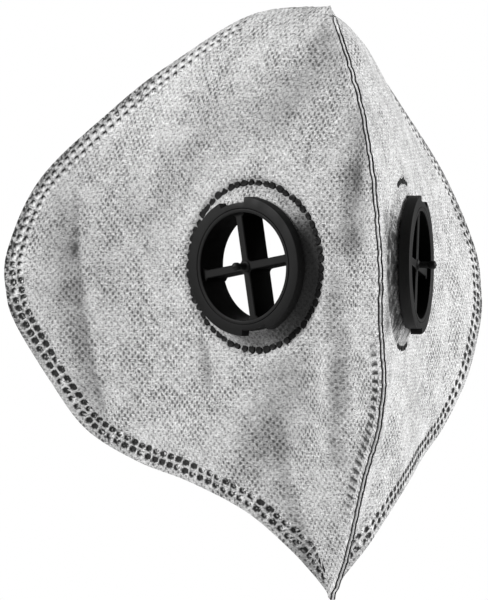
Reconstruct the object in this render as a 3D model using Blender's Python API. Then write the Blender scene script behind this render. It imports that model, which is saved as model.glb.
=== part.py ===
"""Two-panel folding filter mask with a bayonet valve port in each half.

Metres, +Z up. The wearer looks along -Y, so the centre seam bulges towards -Y and the ears are
at +Y. The mask is symmetric about X = 0, and the nose and chin ends of the seam lie on the Z axis.
"left" is the half at -X, which is on the left for someone facing the mask.

Each half panel is a shallow height field over a flat panel plane. The plane goes through the
centre of the valve port, and it is turned PANEL_TURN away from the mask's middle plane. A point
on it has three coordinates: "along", from the port towards the ear, "up", and "out", its height
above the plane on the outer side.
"""

import math

import bmesh
import bpy
import numpy as np
from mathutils import Matrix, Vector

MM = 0.001

# The edge of a half panel, from nose to chin round the ear: (out from the middle plane, back, up)
RIM_POINTS = [
    (0, 0, 74),
    (13, 27, 71.5),
    (28, 42, 59),
    (40, 52, 47),
    (55, 62, 30),
    (63.5, 63, 12),
    (64.5, 61, 1),
    (63, 57.5, -7),
    (57, 50.5, -20),
    (49, 46, -32.5),
    (39, 36, -40.5),
    (30, 21.5, -45.5),
    (20, 8.5, -52.5),
    (11, 2, -61.5),
    (4.5, 0.8, -68.5),
    (0, 0, -74),
]
# The centre seam in the middle plane, from chin to nose: (back, up)
SEAM_POINTS = [
    (0, -74),
    (-8, -65.5),
    (-15, -56),
    (-23, -42.5),
    (-32, -31),
    (-36, -19),
    (-33.8, -6),
    (-33.5, 10),
    (-29.5, 28),
    (-23, 44),
    (-14, 57),
    (-5, 66.5),
    (0, 74),
]

# The valve port's place, where its axis crosses the panel's outer face, and the panel's turn
PORT_OUT, PORT_BACK, PORT_UP = 19.6, 1.6, 9.0
PANEL_TURN = math.radians(31.4)

# The hinge that stands for the fold along the centre seam
FOLD_BACK = -20.0

# Sheets of a half panel, from outside to inside, as depths below the outer face
SHEETS = {
    "outer_cover": (0.0, 0.4),
    "carbon_layer": (0.7, 1.3),
    "filter_layer": (1.6, 2.0),
    "lining": (2.3, 2.7),
}
GAP = 0.3
SHEET_HOLE_RADIUS = 15.2
FLAT_RADIUS = 24.0
CURVE_POWER = 1.5
RING_SHARES = (0.0, 0.33, 0.66)
RIM_COLUMNS = 27
SEAM_COLUMNS = 17

# The welded margin and the fused centre seam
WELD_WIDTH = 6.7
WELD_DEPTHS = (0.7, 1.9)
WELD_COLUMNS = 44
LEAST_WELD_WIDTH = 2.0
SEAM_HALF_WIDTH = 0.8
SEAM_FRONT = 1.6
SEAM_REAR = 3.4
SEAM_SECTIONS = 40

# Valve port, as radii and as heights above the panel's outer face
BORE_RADIUS = 13.5
SLEEVE_RADIUS = 14.5
FLANGE_RADIUS = 22.5
FLANGE_TOP = -3.0
PORT_REAR = -4.3
PORT_FRONT = 5.1
RING_NECK_RADIUS = 16.0
RING_LIP_RADIUS = 17.4
LIP_THICKNESS = 2.9
NOTCH_CENTRE = 12.5
NOTCH_ANGLE = 27.0
STOP_ANGLE = 7.0
CROSS_THICKNESS = 2.0
HUB_CHAMFER = 0.8
CROSS_FRONT = 4.0
CROSS_ROLL = 10.0
PIN_RADIUS = 0.8
PIN_HEAD_RADIUS = 1.05
PIN_TIP = 8.9
ROUND_STEPS = 48
UNION_OVERLAP = 0.4

SIDES = {"left": -1, "right": 1}

MATERIALS = {
    "outer_nonwoven": ((0.42, 0.42, 0.43), 0.95),
    "carbon_cloth": ((0.06, 0.06, 0.065), 0.95),
    "melt_blown": ((0.82, 0.82, 0.8), 0.9),
    "lining_nonwoven": ((0.8, 0.8, 0.8), 0.9),
    "weld_grey": ((0.36, 0.36, 0.37), 0.7),
    "black_plastic": ((0.012, 0.012, 0.013), 0.45),
}
SHEET_MATERIALS = {
    "outer_cover": "outer_nonwoven",
    "carbon_layer": "carbon_cloth",
    "filter_layer": "melt_blown",
    "lining": "lining_nonwoven",
}


def clear_scene():
    for item in list(bpy.data.objects):
        bpy.data.objects.remove(item, do_unlink=True)


def material(name):
    colour, roughness = MATERIALS[name]
    made = bpy.data.materials.get(name) or bpy.data.materials.new(name)
    made.use_nodes = True
    shader = made.node_tree.nodes["Principled BSDF"]
    shader.inputs["Base Color"].default_value = (*colour, 1.0)
    shader.inputs["Roughness"].default_value = roughness
    shader.inputs["Metallic"].default_value = 0.0
    return made


# ---- curves and the panel's surface, in millimetres ------------------------------------------


def smooth_curve(points, count):
    """count points spread evenly along a Catmull-Rom curve through points, ends included."""
    p = np.array(points, float)
    p = np.vstack([2 * p[0] - p[1], p, 2 * p[-1] - p[-2]])
    t = np.linspace(0, 1, 24, endpoint=False)[:, None]
    parts = []
    for a, b, c, d in zip(p, p[1:], p[2:], p[3:]):
        parts.append(
            0.5
            * (
                2 * b
                + (c - a) * t
                + (2 * a - 5 * b + 4 * c - d) * t**2
                + (3 * b - a - 3 * c + d) * t**3
            )
        )
    line = np.vstack([*parts, p[-2]])
    steps = np.linalg.norm(np.diff(line, axis=0), axis=1)
    travelled = np.concatenate([[0], np.cumsum(steps)])
    places = np.linspace(0, travelled[-1], count)
    return np.stack([np.interp(places, travelled, axis) for axis in line.T], axis=1)


def to_panel(points):
    """(out from the middle plane, back, up) turned into (along, up, out) on the panel."""
    x, y, z = np.array(points, float).T
    x, y = x - PORT_OUT, y - PORT_BACK
    sine, cosine = math.sin(PANEL_TURN), math.cos(PANEL_TURN)
    return np.stack([x * sine + y * cosine, z - PORT_UP, x * cosine - y * sine], axis=1)


def from_panel(points, side):
    """(along, up, out) on the panel turned into the mask's own x, y and z."""
    along, up, out = np.array(points, float).T
    sine, cosine = math.sin(PANEL_TURN), math.cos(PANEL_TURN)
    x = side * (PORT_OUT + along * sine + out * cosine)
    y = PORT_BACK + along * cosine - out * sine
    return np.stack([x, y, up + PORT_UP], axis=1)


class Panel:
    """The outer face of a half panel, in (along, up, out)."""

    def __init__(self):
        self.rim = to_panel(smooth_curve(RIM_POINTS, 400))
        seam = [(0, back, up) for back, up in SEAM_POINTS]
        self.seam = to_panel(smooth_curve(seam, 300))
        outline = np.vstack([self.rim, self.seam[1:-1]])
        angle = np.unwrap(np.arctan2(outline[:, 1], outline[:, 0]))
        order = np.argsort(-angle)
        self.angles = np.concatenate([angle[order] + 2 * math.pi, angle[order]])
        self.outline = np.vstack([outline[order]] * 2)

    def boundary(self, angle):
        """How far the panel reaches from the port in a direction, and its height there."""
        top = self.angles.max()
        wrapped = top - np.mod(top - angle, 2 * math.pi)
        reach = np.hypot(self.outline[:, 0], self.outline[:, 1])
        rising = self.angles[::-1]
        far = np.interp(wrapped, rising, reach[::-1])
        return far, np.interp(wrapped, rising, self.outline[::-1, 2])

    def height(self, along, up):
        """The height over the panel plane: none round the port, then curving to the edge's."""
        far, at_edge = self.boundary(np.arctan2(up, along))
        share = (np.hypot(along, up) - FLAT_RADIUS) / (far - FLAT_RADIUS)
        return at_edge * np.clip(share, 0, 1.2) ** CURVE_POWER

    def on_face(self, along, up):
        return np.stack([along, up, self.height(along, up)], axis=-1)

    def reach(self, angle, rim_gap, depth):
        """How far a sheet reaches in a direction, kept rim_gap inside the rim. At this depth
        below the face it also stays clear of the fused seam in the middle plane."""
        far, _ = self.boundary(angle)
        distance = np.arange(far, FLAT_RADIUS, -0.1)
        face = self.on_face(distance * math.cos(angle), distance * math.sin(angle))
        to_rim = np.linalg.norm(face[:, None, :2] - self.rim[None, :, :2], axis=2)
        x = from_panel(face - [0, 0, depth], 1)[:, 0]
        fits = (to_rim.min(axis=1) >= rim_gap) & (x >= SEAM_HALF_WIDTH + GAP)
        return distance[np.argmax(fits)]


def column_angles(panel):
    """Directions from the port, one for each column of a sheet's mesh."""
    rim = panel.rim[np.linspace(0, len(panel.rim) - 1, RIM_COLUMNS).round().astype(int)]
    seam = panel.seam[np.linspace(0, len(panel.seam) - 1, SEAM_COLUMNS).round().astype(int)]
    points = np.vstack([rim, seam[1:-1]])
    return np.arctan2(points[:, 1], points[:, 0])


# ---- meshes ----------------------------------------------------------------------------------


def add_object(name, vertices, faces, material_name, parent, smooth_angle=35):
    """A named solid from points in millimetres, in its parent's frame, faces turned outwards."""
    mesh = bpy.data.meshes.new(name)
    work = bmesh.new()
    made = [work.verts.new(Vector(v) * MM) for v in vertices]
    for face in faces:
        work.faces.new([made[i] for i in face])
    bmesh.ops.triangulate(work, faces=work.faces, quad_method="SHORT_EDGE")
    bmesh.ops.recalc_face_normals(work, faces=work.faces)
    work.to_mesh(mesh)
    work.free()
    mesh.shade_smooth()
    mesh.set_sharp_from_angle(angle=math.radians(smooth_angle))
    mesh.materials.append(material(material_name))
    item = bpy.data.objects.new(name, mesh)
    bpy.context.scene.collection.objects.link(item)
    item.parent = parent
    return item


def tube_of_rings(rings, closed):
    """Faces that join equal rings of points into a closed body. An open tube gets its caps."""
    count, size = len(rings), len(rings[0])
    faces = []
    for i in range(count if closed else count - 1):
        j = (i + 1) % count
        for k in range(size):
            n = (k + 1) % size
            faces.append((i * size + k, j * size + k, j * size + n, i * size + n))
    if not closed:
        faces.append(tuple(range(size)))
        faces.append(tuple((count - 1) * size + k for k in reversed(range(size))))
    return np.vstack(rings), faces


def turned(profile, steps, start=0.0, sweep=2 * math.pi):
    """A (radius, height) profile turned about the port's axis, all round or over an arc."""
    full = sweep >= 2 * math.pi
    angles = start + sweep * np.arange(steps if full else steps + 1) / steps
    rings = [
        [(r * math.cos(a), r * math.sin(a), h) for r, h in profile] for a in angles
    ]
    return tube_of_rings(rings, full)


def join_into(base, extra):
    """Boolean union of extra objects into base."""
    for item in extra:
        cut = base.modifiers.new("Join", "BOOLEAN")
        cut.operation = "UNION"
        cut.solver = "EXACT"
        cut.object = item
        item.hide_render = True
        item.display_type = "WIRE"


def sheet(name, panel, side, depths, material_name, parent):
    """A sheet with the valve hole in it: rings of points from the hole out to its edge. Only
    the last ring is the sheet's own, so that the facets of all sheets stay parallel."""
    outer, inner = depths
    deepest = max(depth for pair in SHEETS.values() for depth in pair)
    rings = []
    for angle in column_angles(panel):
        shared = panel.reach(angle, WELD_WIDTH + GAP, deepest)
        inside = FLAT_RADIUS + (shared - FLAT_RADIUS) * np.array(RING_SHARES)
        edge = panel.reach(angle, WELD_WIDTH + GAP, inner)
        distances = np.array([SHEET_HOLE_RADIUS, *inside, edge])
        face = panel.on_face(distances * math.cos(angle), distances * math.sin(angle))
        top = from_panel(face - [0, 0, outer], side)
        bottom = from_panel(face - [0, 0, inner], side)
        rings.append(np.vstack([top, bottom[::-1]]))
    vertices, faces = tube_of_rings(rings, True)
    return add_object(name, vertices - [0, FOLD_BACK, 0], faces, material_name, parent)


def welded_edge(name, panel, side, parent):
    """The fused margin, a flat band that follows the rim from near the nose to near the chin."""
    outer, inner = WELD_DEPTHS
    rim = panel.rim[np.linspace(0, len(panel.rim) - 1, WELD_COLUMNS).round().astype(int)]
    tangent = np.gradient(rim[:, :2], axis=0)
    inward = np.stack([tangent[:, 1], -tangent[:, 0]], axis=1)
    inward /= np.linalg.norm(inward, axis=1)[:, None]
    widths = np.arange(WELD_WIDTH, LEAST_WELD_WIDTH, -0.2)
    rings = []
    for point, direction in zip(rim, inward):
        if from_panel([point - [0, 0, inner]], 1)[0, 0] < SEAM_HALF_WIDTH + GAP:
            continue
        places = point[:2] + widths[:, None] * direction
        edge = panel.on_face(places[:, 0], places[:, 1])
        clear = from_panel(edge - [0, 0, inner], 1)[:, 0] >= SEAM_HALF_WIDTH + GAP
        if not clear.any():
            continue
        edge = edge[np.argmax(clear)]
        rings.append(
            from_panel([p - [0, 0, d] for p, d in
                        ((point, outer), (edge, outer), (edge, inner), (point, inner))], side)
        )
    vertices, faces = tube_of_rings(rings, False)
    return add_object(name, vertices - [0, FOLD_BACK, 0], faces, "weld_grey", parent)


def centre_seam(parent):
    """The fin of fused sheets in the middle plane, from chin to nose."""
    line = smooth_curve(SEAM_POINTS, SEAM_SECTIONS)
    tangent = np.gradient(line, axis=0)
    tangent /= np.linalg.norm(tangent, axis=1)[:, None]
    rings = []
    for (back, up), (along_back, along_up) in zip(line, tangent):
        forward = np.array([-along_up, along_back])
        front = np.array([back, up]) + SEAM_FRONT * forward
        rear = np.array([back, up]) - SEAM_REAR * forward
        rings.append(
            [(x, y, z) for x, (y, z) in (
                (-SEAM_HALF_WIDTH, front),
                (SEAM_HALF_WIDTH, front),
                (SEAM_HALF_WIDTH, rear),
                (-SEAM_HALF_WIDTH, rear),
            )]
        )
    vertices, faces = tube_of_rings(rings, False)
    return add_object("centre_seam", vertices, faces, "weld_grey", parent)


def valve_seat(name, parent):
    """The sleeve through the sheets and the flange behind them, turned in one piece."""
    profile = [
        (BORE_RADIUS, PORT_REAR),
        (FLANGE_RADIUS, PORT_REAR),
        (FLANGE_RADIUS, FLANGE_TOP),
        (SLEEVE_RADIUS, FLANGE_TOP),
        (SLEEVE_RADIUS, PORT_FRONT),
        (BORE_RADIUS, PORT_FRONT),
    ]
    vertices, faces = turned(profile, ROUND_STEPS)
    return add_object(name, vertices, faces, "black_plastic", parent)


def valve_cross(name, parent, roll):
    """Two crossed deep webs, chamfered where they meet, with a headed pin at their centre. Each
    ring of points has as many as the webs' outline, so that the whole is one closed tube."""
    half = CROSS_THICKNESS / 2
    tip = BORE_RADIUS - GAP
    corner = [(tip, -half), (tip, half), (half + HUB_CHAMFER, half), (half, half + HUB_CHAMFER)]
    outline = []
    for quarter in range(4):
        turn = math.radians(roll) + quarter * math.pi / 2
        for x, y in corner:
            outline.append(
                (x * math.cos(turn) - y * math.sin(turn),
                 x * math.sin(turn) + y * math.cos(turn))
            )
    stem = PIN_TIP - 2 * PIN_HEAD_RADIUS
    levels = [
        (PIN_RADIUS, CROSS_FRONT),
        (PIN_RADIUS, stem),
        (PIN_HEAD_RADIUS, stem + 0.35),
        (PIN_HEAD_RADIUS, PIN_TIP - 0.8),
        (PIN_HEAD_RADIUS * 0.6, PIN_TIP),
    ]
    count = len(outline)
    steps = [math.radians(roll) + 2 * math.pi * (k - 0.5) / count for k in range(count)]
    rings = [[(x, y, h) for x, y in outline] for h in (PORT_REAR, CROSS_FRONT)]
    rings += [[(r * math.cos(a), r * math.sin(a), h) for a in steps] for r, h in levels]
    vertices, faces = tube_of_rings(rings, False)
    return add_object(name, vertices, faces, "black_plastic", parent)


def bayonet_ring(name, parent, side):
    """The collar outside the fabric. Its lip is cut by two notches, and a full-height stop
    closes the seam-side end of the upper one."""
    neck = [
        (SLEEVE_RADIUS + GAP, GAP),
        (RING_NECK_RADIUS, GAP),
        (RING_NECK_RADIUS, PORT_FRONT),
        (SLEEVE_RADIUS + GAP, PORT_FRONT),
    ]
    vertices, faces = turned(neck, ROUND_STEPS)
    ring = add_object(name, vertices, faces, "black_plastic", parent)
    shoulder = RING_NECK_RADIUS - UNION_OVERLAP
    lip_rear = PORT_FRONT - LIP_THICKNESS
    lip = [
        (shoulder, lip_rear),
        (RING_LIP_RADIUS, lip_rear),
        (RING_LIP_RADIUS, PORT_FRONT),
        (shoulder, PORT_FRONT),
    ]
    stop = [(r, max(h, lip_rear) if h == PORT_FRONT else GAP) for r, h in lip]
    top = 90 - side * NOTCH_CENTRE
    shapes = []
    for turn in (0, 180):
        start = math.radians(top + turn + NOTCH_ANGLE / 2)
        sweep = math.radians(180 - NOTCH_ANGLE)
        shapes.append((lip, start, sweep, 20))
    seam_end = top + side * (NOTCH_ANGLE + STOP_ANGLE) / 2
    start = math.radians(seam_end - STOP_ANGLE / 2 + side * UNION_OVERLAP)
    shapes.append((stop, start, math.radians(STOP_ANGLE), 1))
    extra = []
    for count, (profile, start, sweep, steps) in enumerate(shapes):
        vertices, faces = turned(profile, steps, start, sweep)
        label = f"{name}_shape_{count}"
        extra.append(add_object(label, vertices, faces, "black_plastic", parent))
    join_into(ring, extra)
    return ring


# ---- assembly --------------------------------------------------------------------------------


def empty(name, parent, matrix):
    item = bpy.data.objects.new(name, None)
    bpy.context.scene.collection.objects.link(item)
    item.parent = parent
    item.matrix_local = matrix
    return item


def port_matrix(side):
    """The port's frame under its half's fold axis: local Z outwards, local Y up."""
    outward = Vector((side * math.cos(PANEL_TURN), -math.sin(PANEL_TURN), 0))
    up = Vector((0, 0, 1))
    across = up.cross(outward)
    place = Vector((side * PORT_OUT, PORT_BACK - FOLD_BACK, PORT_UP)) * MM
    turn = Matrix((across, up, outward)).transposed().to_4x4()
    return Matrix.Translation(place) @ turn


def build_half(side_name, panel):
    side = SIDES[side_name]
    axis = empty(f"{side_name}_fold_axis", None, Matrix.Translation((0, FOLD_BACK * MM, 0)))
    for sheet_name, depths in SHEETS.items():
        sheet(f"{side_name}_{sheet_name}", panel, side, depths, SHEET_MATERIALS[sheet_name], axis)
    welded_edge(f"{side_name}_welded_edge", panel, side, axis)
    port = empty(f"{side_name}_port", axis, port_matrix(side))
    valve_seat(f"{side_name}_valve_seat", port)
    valve_cross(f"{side_name}_valve_cross", port, -side * CROSS_ROLL)
    bayonet_ring(f"{side_name}_bayonet_ring", port, side)


def main():
    clear_scene()
    panel = Panel()
    centre_seam(None)
    for side_name in SIDES:
        build_half(side_name, panel)


main()
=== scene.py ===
"""Looks of a two-panel folding filter mask with a bayonet valve port in each half.

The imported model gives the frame: +Z up, the centre seam bulges towards -Y, the ears are at +Y,
and the mask mirrors about X = 0. "left" is the half at -X. Shapes are worked out in millimetres
and written to meshes in metres.

Each half panel is a shallow height field over a flat panel plane through the valve port's
centre. A place on it is (along, up, out): along runs from the port towards the ear, up is +Z,
and out is the height above the plane on the outer side. "depth" is measured inwards from the
panel's outer face, through the four sheets.
"""

import logging
import math
from dataclasses import dataclass, field
from enum import Enum

import bpy
import numpy as np
from mathutils import Matrix, Vector


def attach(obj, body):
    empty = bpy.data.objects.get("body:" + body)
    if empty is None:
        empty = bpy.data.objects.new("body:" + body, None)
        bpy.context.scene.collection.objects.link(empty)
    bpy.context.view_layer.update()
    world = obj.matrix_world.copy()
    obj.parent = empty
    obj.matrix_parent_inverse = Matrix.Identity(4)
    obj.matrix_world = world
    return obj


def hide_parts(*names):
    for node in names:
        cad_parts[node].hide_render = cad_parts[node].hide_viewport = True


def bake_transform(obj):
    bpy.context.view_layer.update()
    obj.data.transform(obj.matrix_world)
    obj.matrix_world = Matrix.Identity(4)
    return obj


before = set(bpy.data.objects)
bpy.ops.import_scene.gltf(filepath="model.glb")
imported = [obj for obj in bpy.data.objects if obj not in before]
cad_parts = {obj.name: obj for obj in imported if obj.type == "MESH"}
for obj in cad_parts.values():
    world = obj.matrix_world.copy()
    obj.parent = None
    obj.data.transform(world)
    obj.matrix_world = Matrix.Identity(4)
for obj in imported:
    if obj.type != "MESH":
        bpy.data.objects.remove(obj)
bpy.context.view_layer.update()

LOG = logging.getLogger("filter_mask")
MM = 0.001
SEAM_BODY = "seam"


class Side(Enum):
    """The two halves of the mask, as seen by someone facing it."""

    LEFT = -1
    RIGHT = 1

    @property
    def word(self) -> str:
        """The side's name as used in node names."""
        return self.name.lower()

    @property
    def body(self) -> str:
        """The CAD body that this half's pieces ride on."""
        return f"{self.word}_half"


# ---- curves, noise and meshes ----------------------------------------------------------------


def smooth_curve(points: list[tuple[float, ...]], count: int) -> np.ndarray:
    """Spread points evenly along a Catmull-Rom curve.

    Args:
        points: The curve's own points, ends included.
        count: How many points to return.

    Returns:
        An array of count rows.
    """
    p = np.array(points, float)
    p = np.vstack([2 * p[0] - p[1], p, 2 * p[-1] - p[-2]])
    t = np.linspace(0, 1, 24, endpoint=False)[:, None]
    parts = [
        0.5 * (2 * b + (c - a) * t + (2 * a - 5 * b + 4 * c - d) * t**2
               + (3 * b - a - 3 * c + d) * t**3)
        for a, b, c, d in zip(p, p[1:], p[2:], p[3:])
    ]
    line = np.vstack([*parts, p[-2]])
    travelled = lengths_along(line)
    places = np.linspace(0, travelled[-1], count)
    return np.stack([np.interp(places, travelled, axis) for axis in line.T], axis=1)


def lengths_along(line: np.ndarray) -> np.ndarray:
    """The distance travelled at each point of a polyline."""
    steps = np.linalg.norm(np.diff(line, axis=0), axis=1)
    return np.concatenate([[0.0], np.cumsum(steps)])


def ease(x: np.ndarray | float, low: float, high: float) -> np.ndarray:
    """A smooth step from 0 at low to 1 at high."""
    t = np.clip((np.asarray(x, float) - low) / (high - low), 0, 1)
    return t * t * (3 - 2 * t)


class SmoothNoise:
    """Smooth value noise on a plane, the same on every run."""

    def __init__(self, seed: int, size: int = 64) -> None:
        """Draw the lattice of values.

        Args:
            seed: Seed of the lattice.
            size: The lattice repeats after this many cells.
        """
        self.size = size
        self.values = np.random.default_rng(seed).uniform(-1, 1, (size, size))

    def __call__(self, x: np.ndarray, y: np.ndarray, cell: float) -> np.ndarray:
        """Noise at places in a plane.

        Args:
            x: Places, across.
            y: Places, up.
            cell: How far one bump reaches.

        Returns:
            Values from -1 to 1.
        """
        u, v = np.asarray(x, float) / cell, np.asarray(y, float) / cell
        i, j = np.floor(u).astype(int), np.floor(v).astype(int)
        fu, fv = ease(u - i, 0, 1), ease(v - j, 0, 1)
        n, grid = self.size, self.values
        a = grid[i % n, j % n] * (1 - fu) + grid[(i + 1) % n, j % n] * fu
        b = grid[i % n, (j + 1) % n] * (1 - fu) + grid[(i + 1) % n, (j + 1) % n] * fu
        return a * (1 - fv) + b * fv

    def line(self, places: np.ndarray, cell: float, lane: float = 0.0) -> np.ndarray:
        """Noise at places on a line; each lane gives a pattern of its own."""
        return self(places, places * 0 + lane, cell)


def into_scene(name: str, data: bpy.types.ID) -> bpy.types.Object:
    """Put a mesh, a light or a camera in the scene as a new object."""
    made = bpy.data.objects.new(name, data)
    bpy.context.scene.collection.objects.link(made)
    return made


@dataclass
class MeshParts:
    """Points, faces and per-point data of a mesh in the making, in millimetres."""

    points: np.ndarray
    faces: np.ndarray
    flat: np.ndarray | None = None
    marks: np.ndarray | None = None

    def build(self, name: str, material: bpy.types.Material, sharp: float = 180.0) -> bpy.types.Object:
        """Write the mesh to a new object in metres.

        Args:
            name: The piece's name.
            material: Its finish.
            sharp: Edges bent by more than this many degrees are left sharp.

        Returns:
            The object, linked to the scene.
        """
        mesh = bpy.data.meshes.new(name)
        quads = np.asarray(self.faces, np.int32)
        mesh.vertices.add(len(self.points))
        mesh.vertices.foreach_set("co", (self.points * MM).astype(np.float32).ravel())
        mesh.loops.add(quads.size)
        mesh.loops.foreach_set("vertex_index", quads.ravel())
        mesh.polygons.add(len(quads))
        mesh.polygons.foreach_set("loop_start", np.arange(0, quads.size, quads.shape[1], dtype=np.int32))
        mesh.update(calc_edges=True)
        mesh.validate()
        if self.flat is not None:
            layer = mesh.uv_layers.new(name="Cut")
            at = np.empty(len(mesh.loops), np.int32)
            mesh.loops.foreach_get("vertex_index", at)
            layer.data.foreach_set("uv", self.flat[at].astype(np.float32).ravel())
        if self.marks is not None:
            layer = mesh.color_attributes.new("marks", "FLOAT_COLOR", "POINT")
            layer.data.foreach_set("color", self.marks.astype(np.float32).ravel())
        mesh.shade_smooth()
        if sharp < 180:
            mesh.set_sharp_from_angle(angle=math.radians(sharp))
        mesh.materials.append(material)
        return into_scene(name, mesh)


def ring_faces(columns: int, rows: int, flip: bool) -> np.ndarray:
    """Quads of a closed tube whose columns and rows both go all the way round.

    Args:
        columns: How many columns of points, the outer index.
        rows: How many points in each column.
        flip: Turn the faces over.

    Returns:
        Four point indices a row.
    """
    i, k = np.meshgrid(np.arange(columns), np.arange(rows), indexing="ij")
    j, n = (i + 1) % columns, (k + 1) % rows
    quads = np.stack([i * rows + k, j * rows + k, j * rows + n, i * rows + n], axis=-1)
    quads = quads.reshape(-1, 4)
    return quads[:, ::-1] if flip else quads


def open_tube_faces(columns: int, rows: int, flip: bool, caps: list[list[int]]) -> np.ndarray:
    """Quads of a closed section swept along a line, with both ends closed.

    Args:
        columns: How many sections.
        rows: How many points in each section.
        flip: Turn the tube's faces over.
        caps: The quads that close the first section.

    Returns:
        Four point indices a row.
    """
    tube = ring_faces(columns, rows, flip).reshape(columns, rows, 4)[:-1].reshape(-1, 4)
    ends = np.array(caps)
    return np.vstack([tube, ends, (columns - 1) * rows + ends[:, ::-1]])


def lathe(profile: list[tuple[float, float]], steps: int) -> MeshParts:
    """Turn a closed (radius, height) profile all round the port's axis.

    Args:
        profile: The closed section. It runs anticlockwise, with radius to the right.
        steps: How many sections.

    Returns:
        A ring-shaped solid.
    """
    section = np.array(profile, float)
    angles = 2 * math.pi * np.arange(steps) / steps
    points = np.stack([
        np.outer(np.cos(angles), section[:, 0]),
        np.outer(np.sin(angles), section[:, 0]),
        np.tile(section[:, 1], (steps, 1)),
    ], axis=-1)
    return MeshParts(points.reshape(-1, 3), ring_faces(steps, len(section), False))


def rounded(corners: list[tuple[float, float, float]], steps: int = 4) -> list[tuple[float, float]]:
    """A closed outline with its corners rounded.

    Args:
        corners: (x, y, radius) of each corner, in order.
        steps: Points along each rounding.

    Returns:
        The outline's points.
    """
    out: list[tuple[float, float]] = []
    count = len(corners)
    for i, (x, y, radius) in enumerate(corners):
        here = np.array([x, y], float)
        before = np.array(corners[i - 1][:2], float) - here
        after = np.array(corners[(i + 1) % count][:2], float) - here
        if radius <= 0:
            out.append((x, y))
            continue
        start = here + before / np.linalg.norm(before) * radius
        end = here + after / np.linalg.norm(after) * radius
        for t in np.linspace(0, 1, steps + 1):
            place = (1 - t) ** 2 * start + 2 * t * (1 - t) * here + t**2 * end
            out.append((float(place[0]), float(place[1])))
    return out


# ---- shader graphs ---------------------------------------------------------------------------


class Graph:
    """A short way to write shader nodes into a tree."""

    def __init__(self, tree: bpy.types.NodeTree) -> None:
        """Keep the tree that the nodes go to."""
        self.tree = tree

    def node(self, kind: str, inputs: dict | None = None, **settings: object) -> bpy.types.Node:
        """Add a node.

        Args:
            kind: Blender's node type.
            inputs: Values or sockets, by input name or number.
            **settings: The node's own properties.

        Returns:
            The node.
        """
        made = self.tree.nodes.new(kind)
        for key, value in settings.items():
            setattr(made, key, value)
        for key, value in (inputs or {}).items():
            socket = made.inputs[key]
            if isinstance(value, bpy.types.NodeSocket):
                self.tree.links.new(value, socket)
            else:
                socket.default_value = value
        return made

    def link(self, value: bpy.types.NodeSocket, socket: bpy.types.NodeSocket) -> None:
        """Feed a value to a socket."""
        self.tree.links.new(value, socket)

    def maths(self, operation: str, a: object, b: object = 0.0,
              clamp: bool = False) -> bpy.types.NodeSocket:
        """One step of arithmetic on numbers or sockets."""
        made = self.node("ShaderNodeMath", {0: a, 1: b}, operation=operation, use_clamp=clamp)
        return made.outputs[0]

    def vector(self, operation: str, a: object, b: object = (0, 0, 0)) -> bpy.types.NodeSocket:
        """One step of arithmetic on vectors or vector sockets."""
        made = self.node("ShaderNodeVectorMath", {0: a, 1: b}, operation=operation)
        return made.outputs["Value" if operation in ("LENGTH", "DOT_PRODUCT") else "Vector"]

    def scale(self, vector: object, factor: object) -> bpy.types.NodeSocket:
        """A vector times a number."""
        made = self.node("ShaderNodeVectorMath", {0: vector, 3: factor}, operation="SCALE")
        return made.outputs["Vector"]

    def remap(self, value: object, low: float, high: float, to_low: float = 0.0,
              to_high: float = 1.0) -> bpy.types.NodeSocket:
        """A smooth step of a value between two limits.

        Args:
            value: The value.
            low: Where the step starts.
            high: Where it ends.
            to_low: The result at low.
            to_high: The result at high.

        Returns:
            The result's socket.
        """
        limits = {"From Min": low, "From Max": high, "To Min": to_low, "To Max": to_high}
        made = self.node("ShaderNodeMapRange", {"Value": value, **limits},
                         interpolation_type="SMOOTHSTEP")
        return made.outputs["Result"]

    def noise(self, place: object, scale: float, detail: float = 3.0,
              rough: float = 0.5) -> bpy.types.NodeSocket:
        """Noise from 0 to 1 at a place."""
        inputs = {"Vector": place, "Scale": scale, "Detail": detail, "Roughness": rough}
        return self.node("ShaderNodeTexNoise", inputs).outputs["Fac"]

    def mix(self, share: object, a: object, b: object) -> bpy.types.NodeSocket:
        """Mix two colours."""
        made = self.node("ShaderNodeMix", {0: share, 6: a, 7: b}, data_type="RGBA")
        return made.outputs[2]

    def bump(self, height: object, distance: float, strength: float = 1.0) -> bpy.types.NodeSocket:
        """A normal from a height."""
        inputs = {"Height": height, "Distance": distance, "Strength": strength}
        return self.node("ShaderNodeBump", inputs).outputs["Normal"]


def new_group(name: str, inputs: dict[str, tuple[str, object]],
              outputs: list[str]) -> tuple[bpy.types.NodeTree, Graph, bpy.types.Node, bpy.types.Node]:
    """Start a shader node group.

    Args:
        name: The group's name.
        inputs: Socket kind and default value, by name.
        outputs: Names of the values that it puts out.

    Returns:
        The group, its graph, its input node and its output node.
    """
    group = bpy.data.node_groups.new(name, "ShaderNodeTree")
    for key, (kind, value) in inputs.items():
        socket = group.interface.new_socket(name=key, in_out="INPUT", socket_type=kind)
        if value is not None:
            socket.default_value = value
    for key in outputs:
        group.interface.new_socket(name=key, in_out="OUTPUT", socket_type="NodeSocketFloat")
    graph = Graph(group)
    return group, graph, graph.node("NodeGroupInput"), graph.node("NodeGroupOutput")


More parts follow.
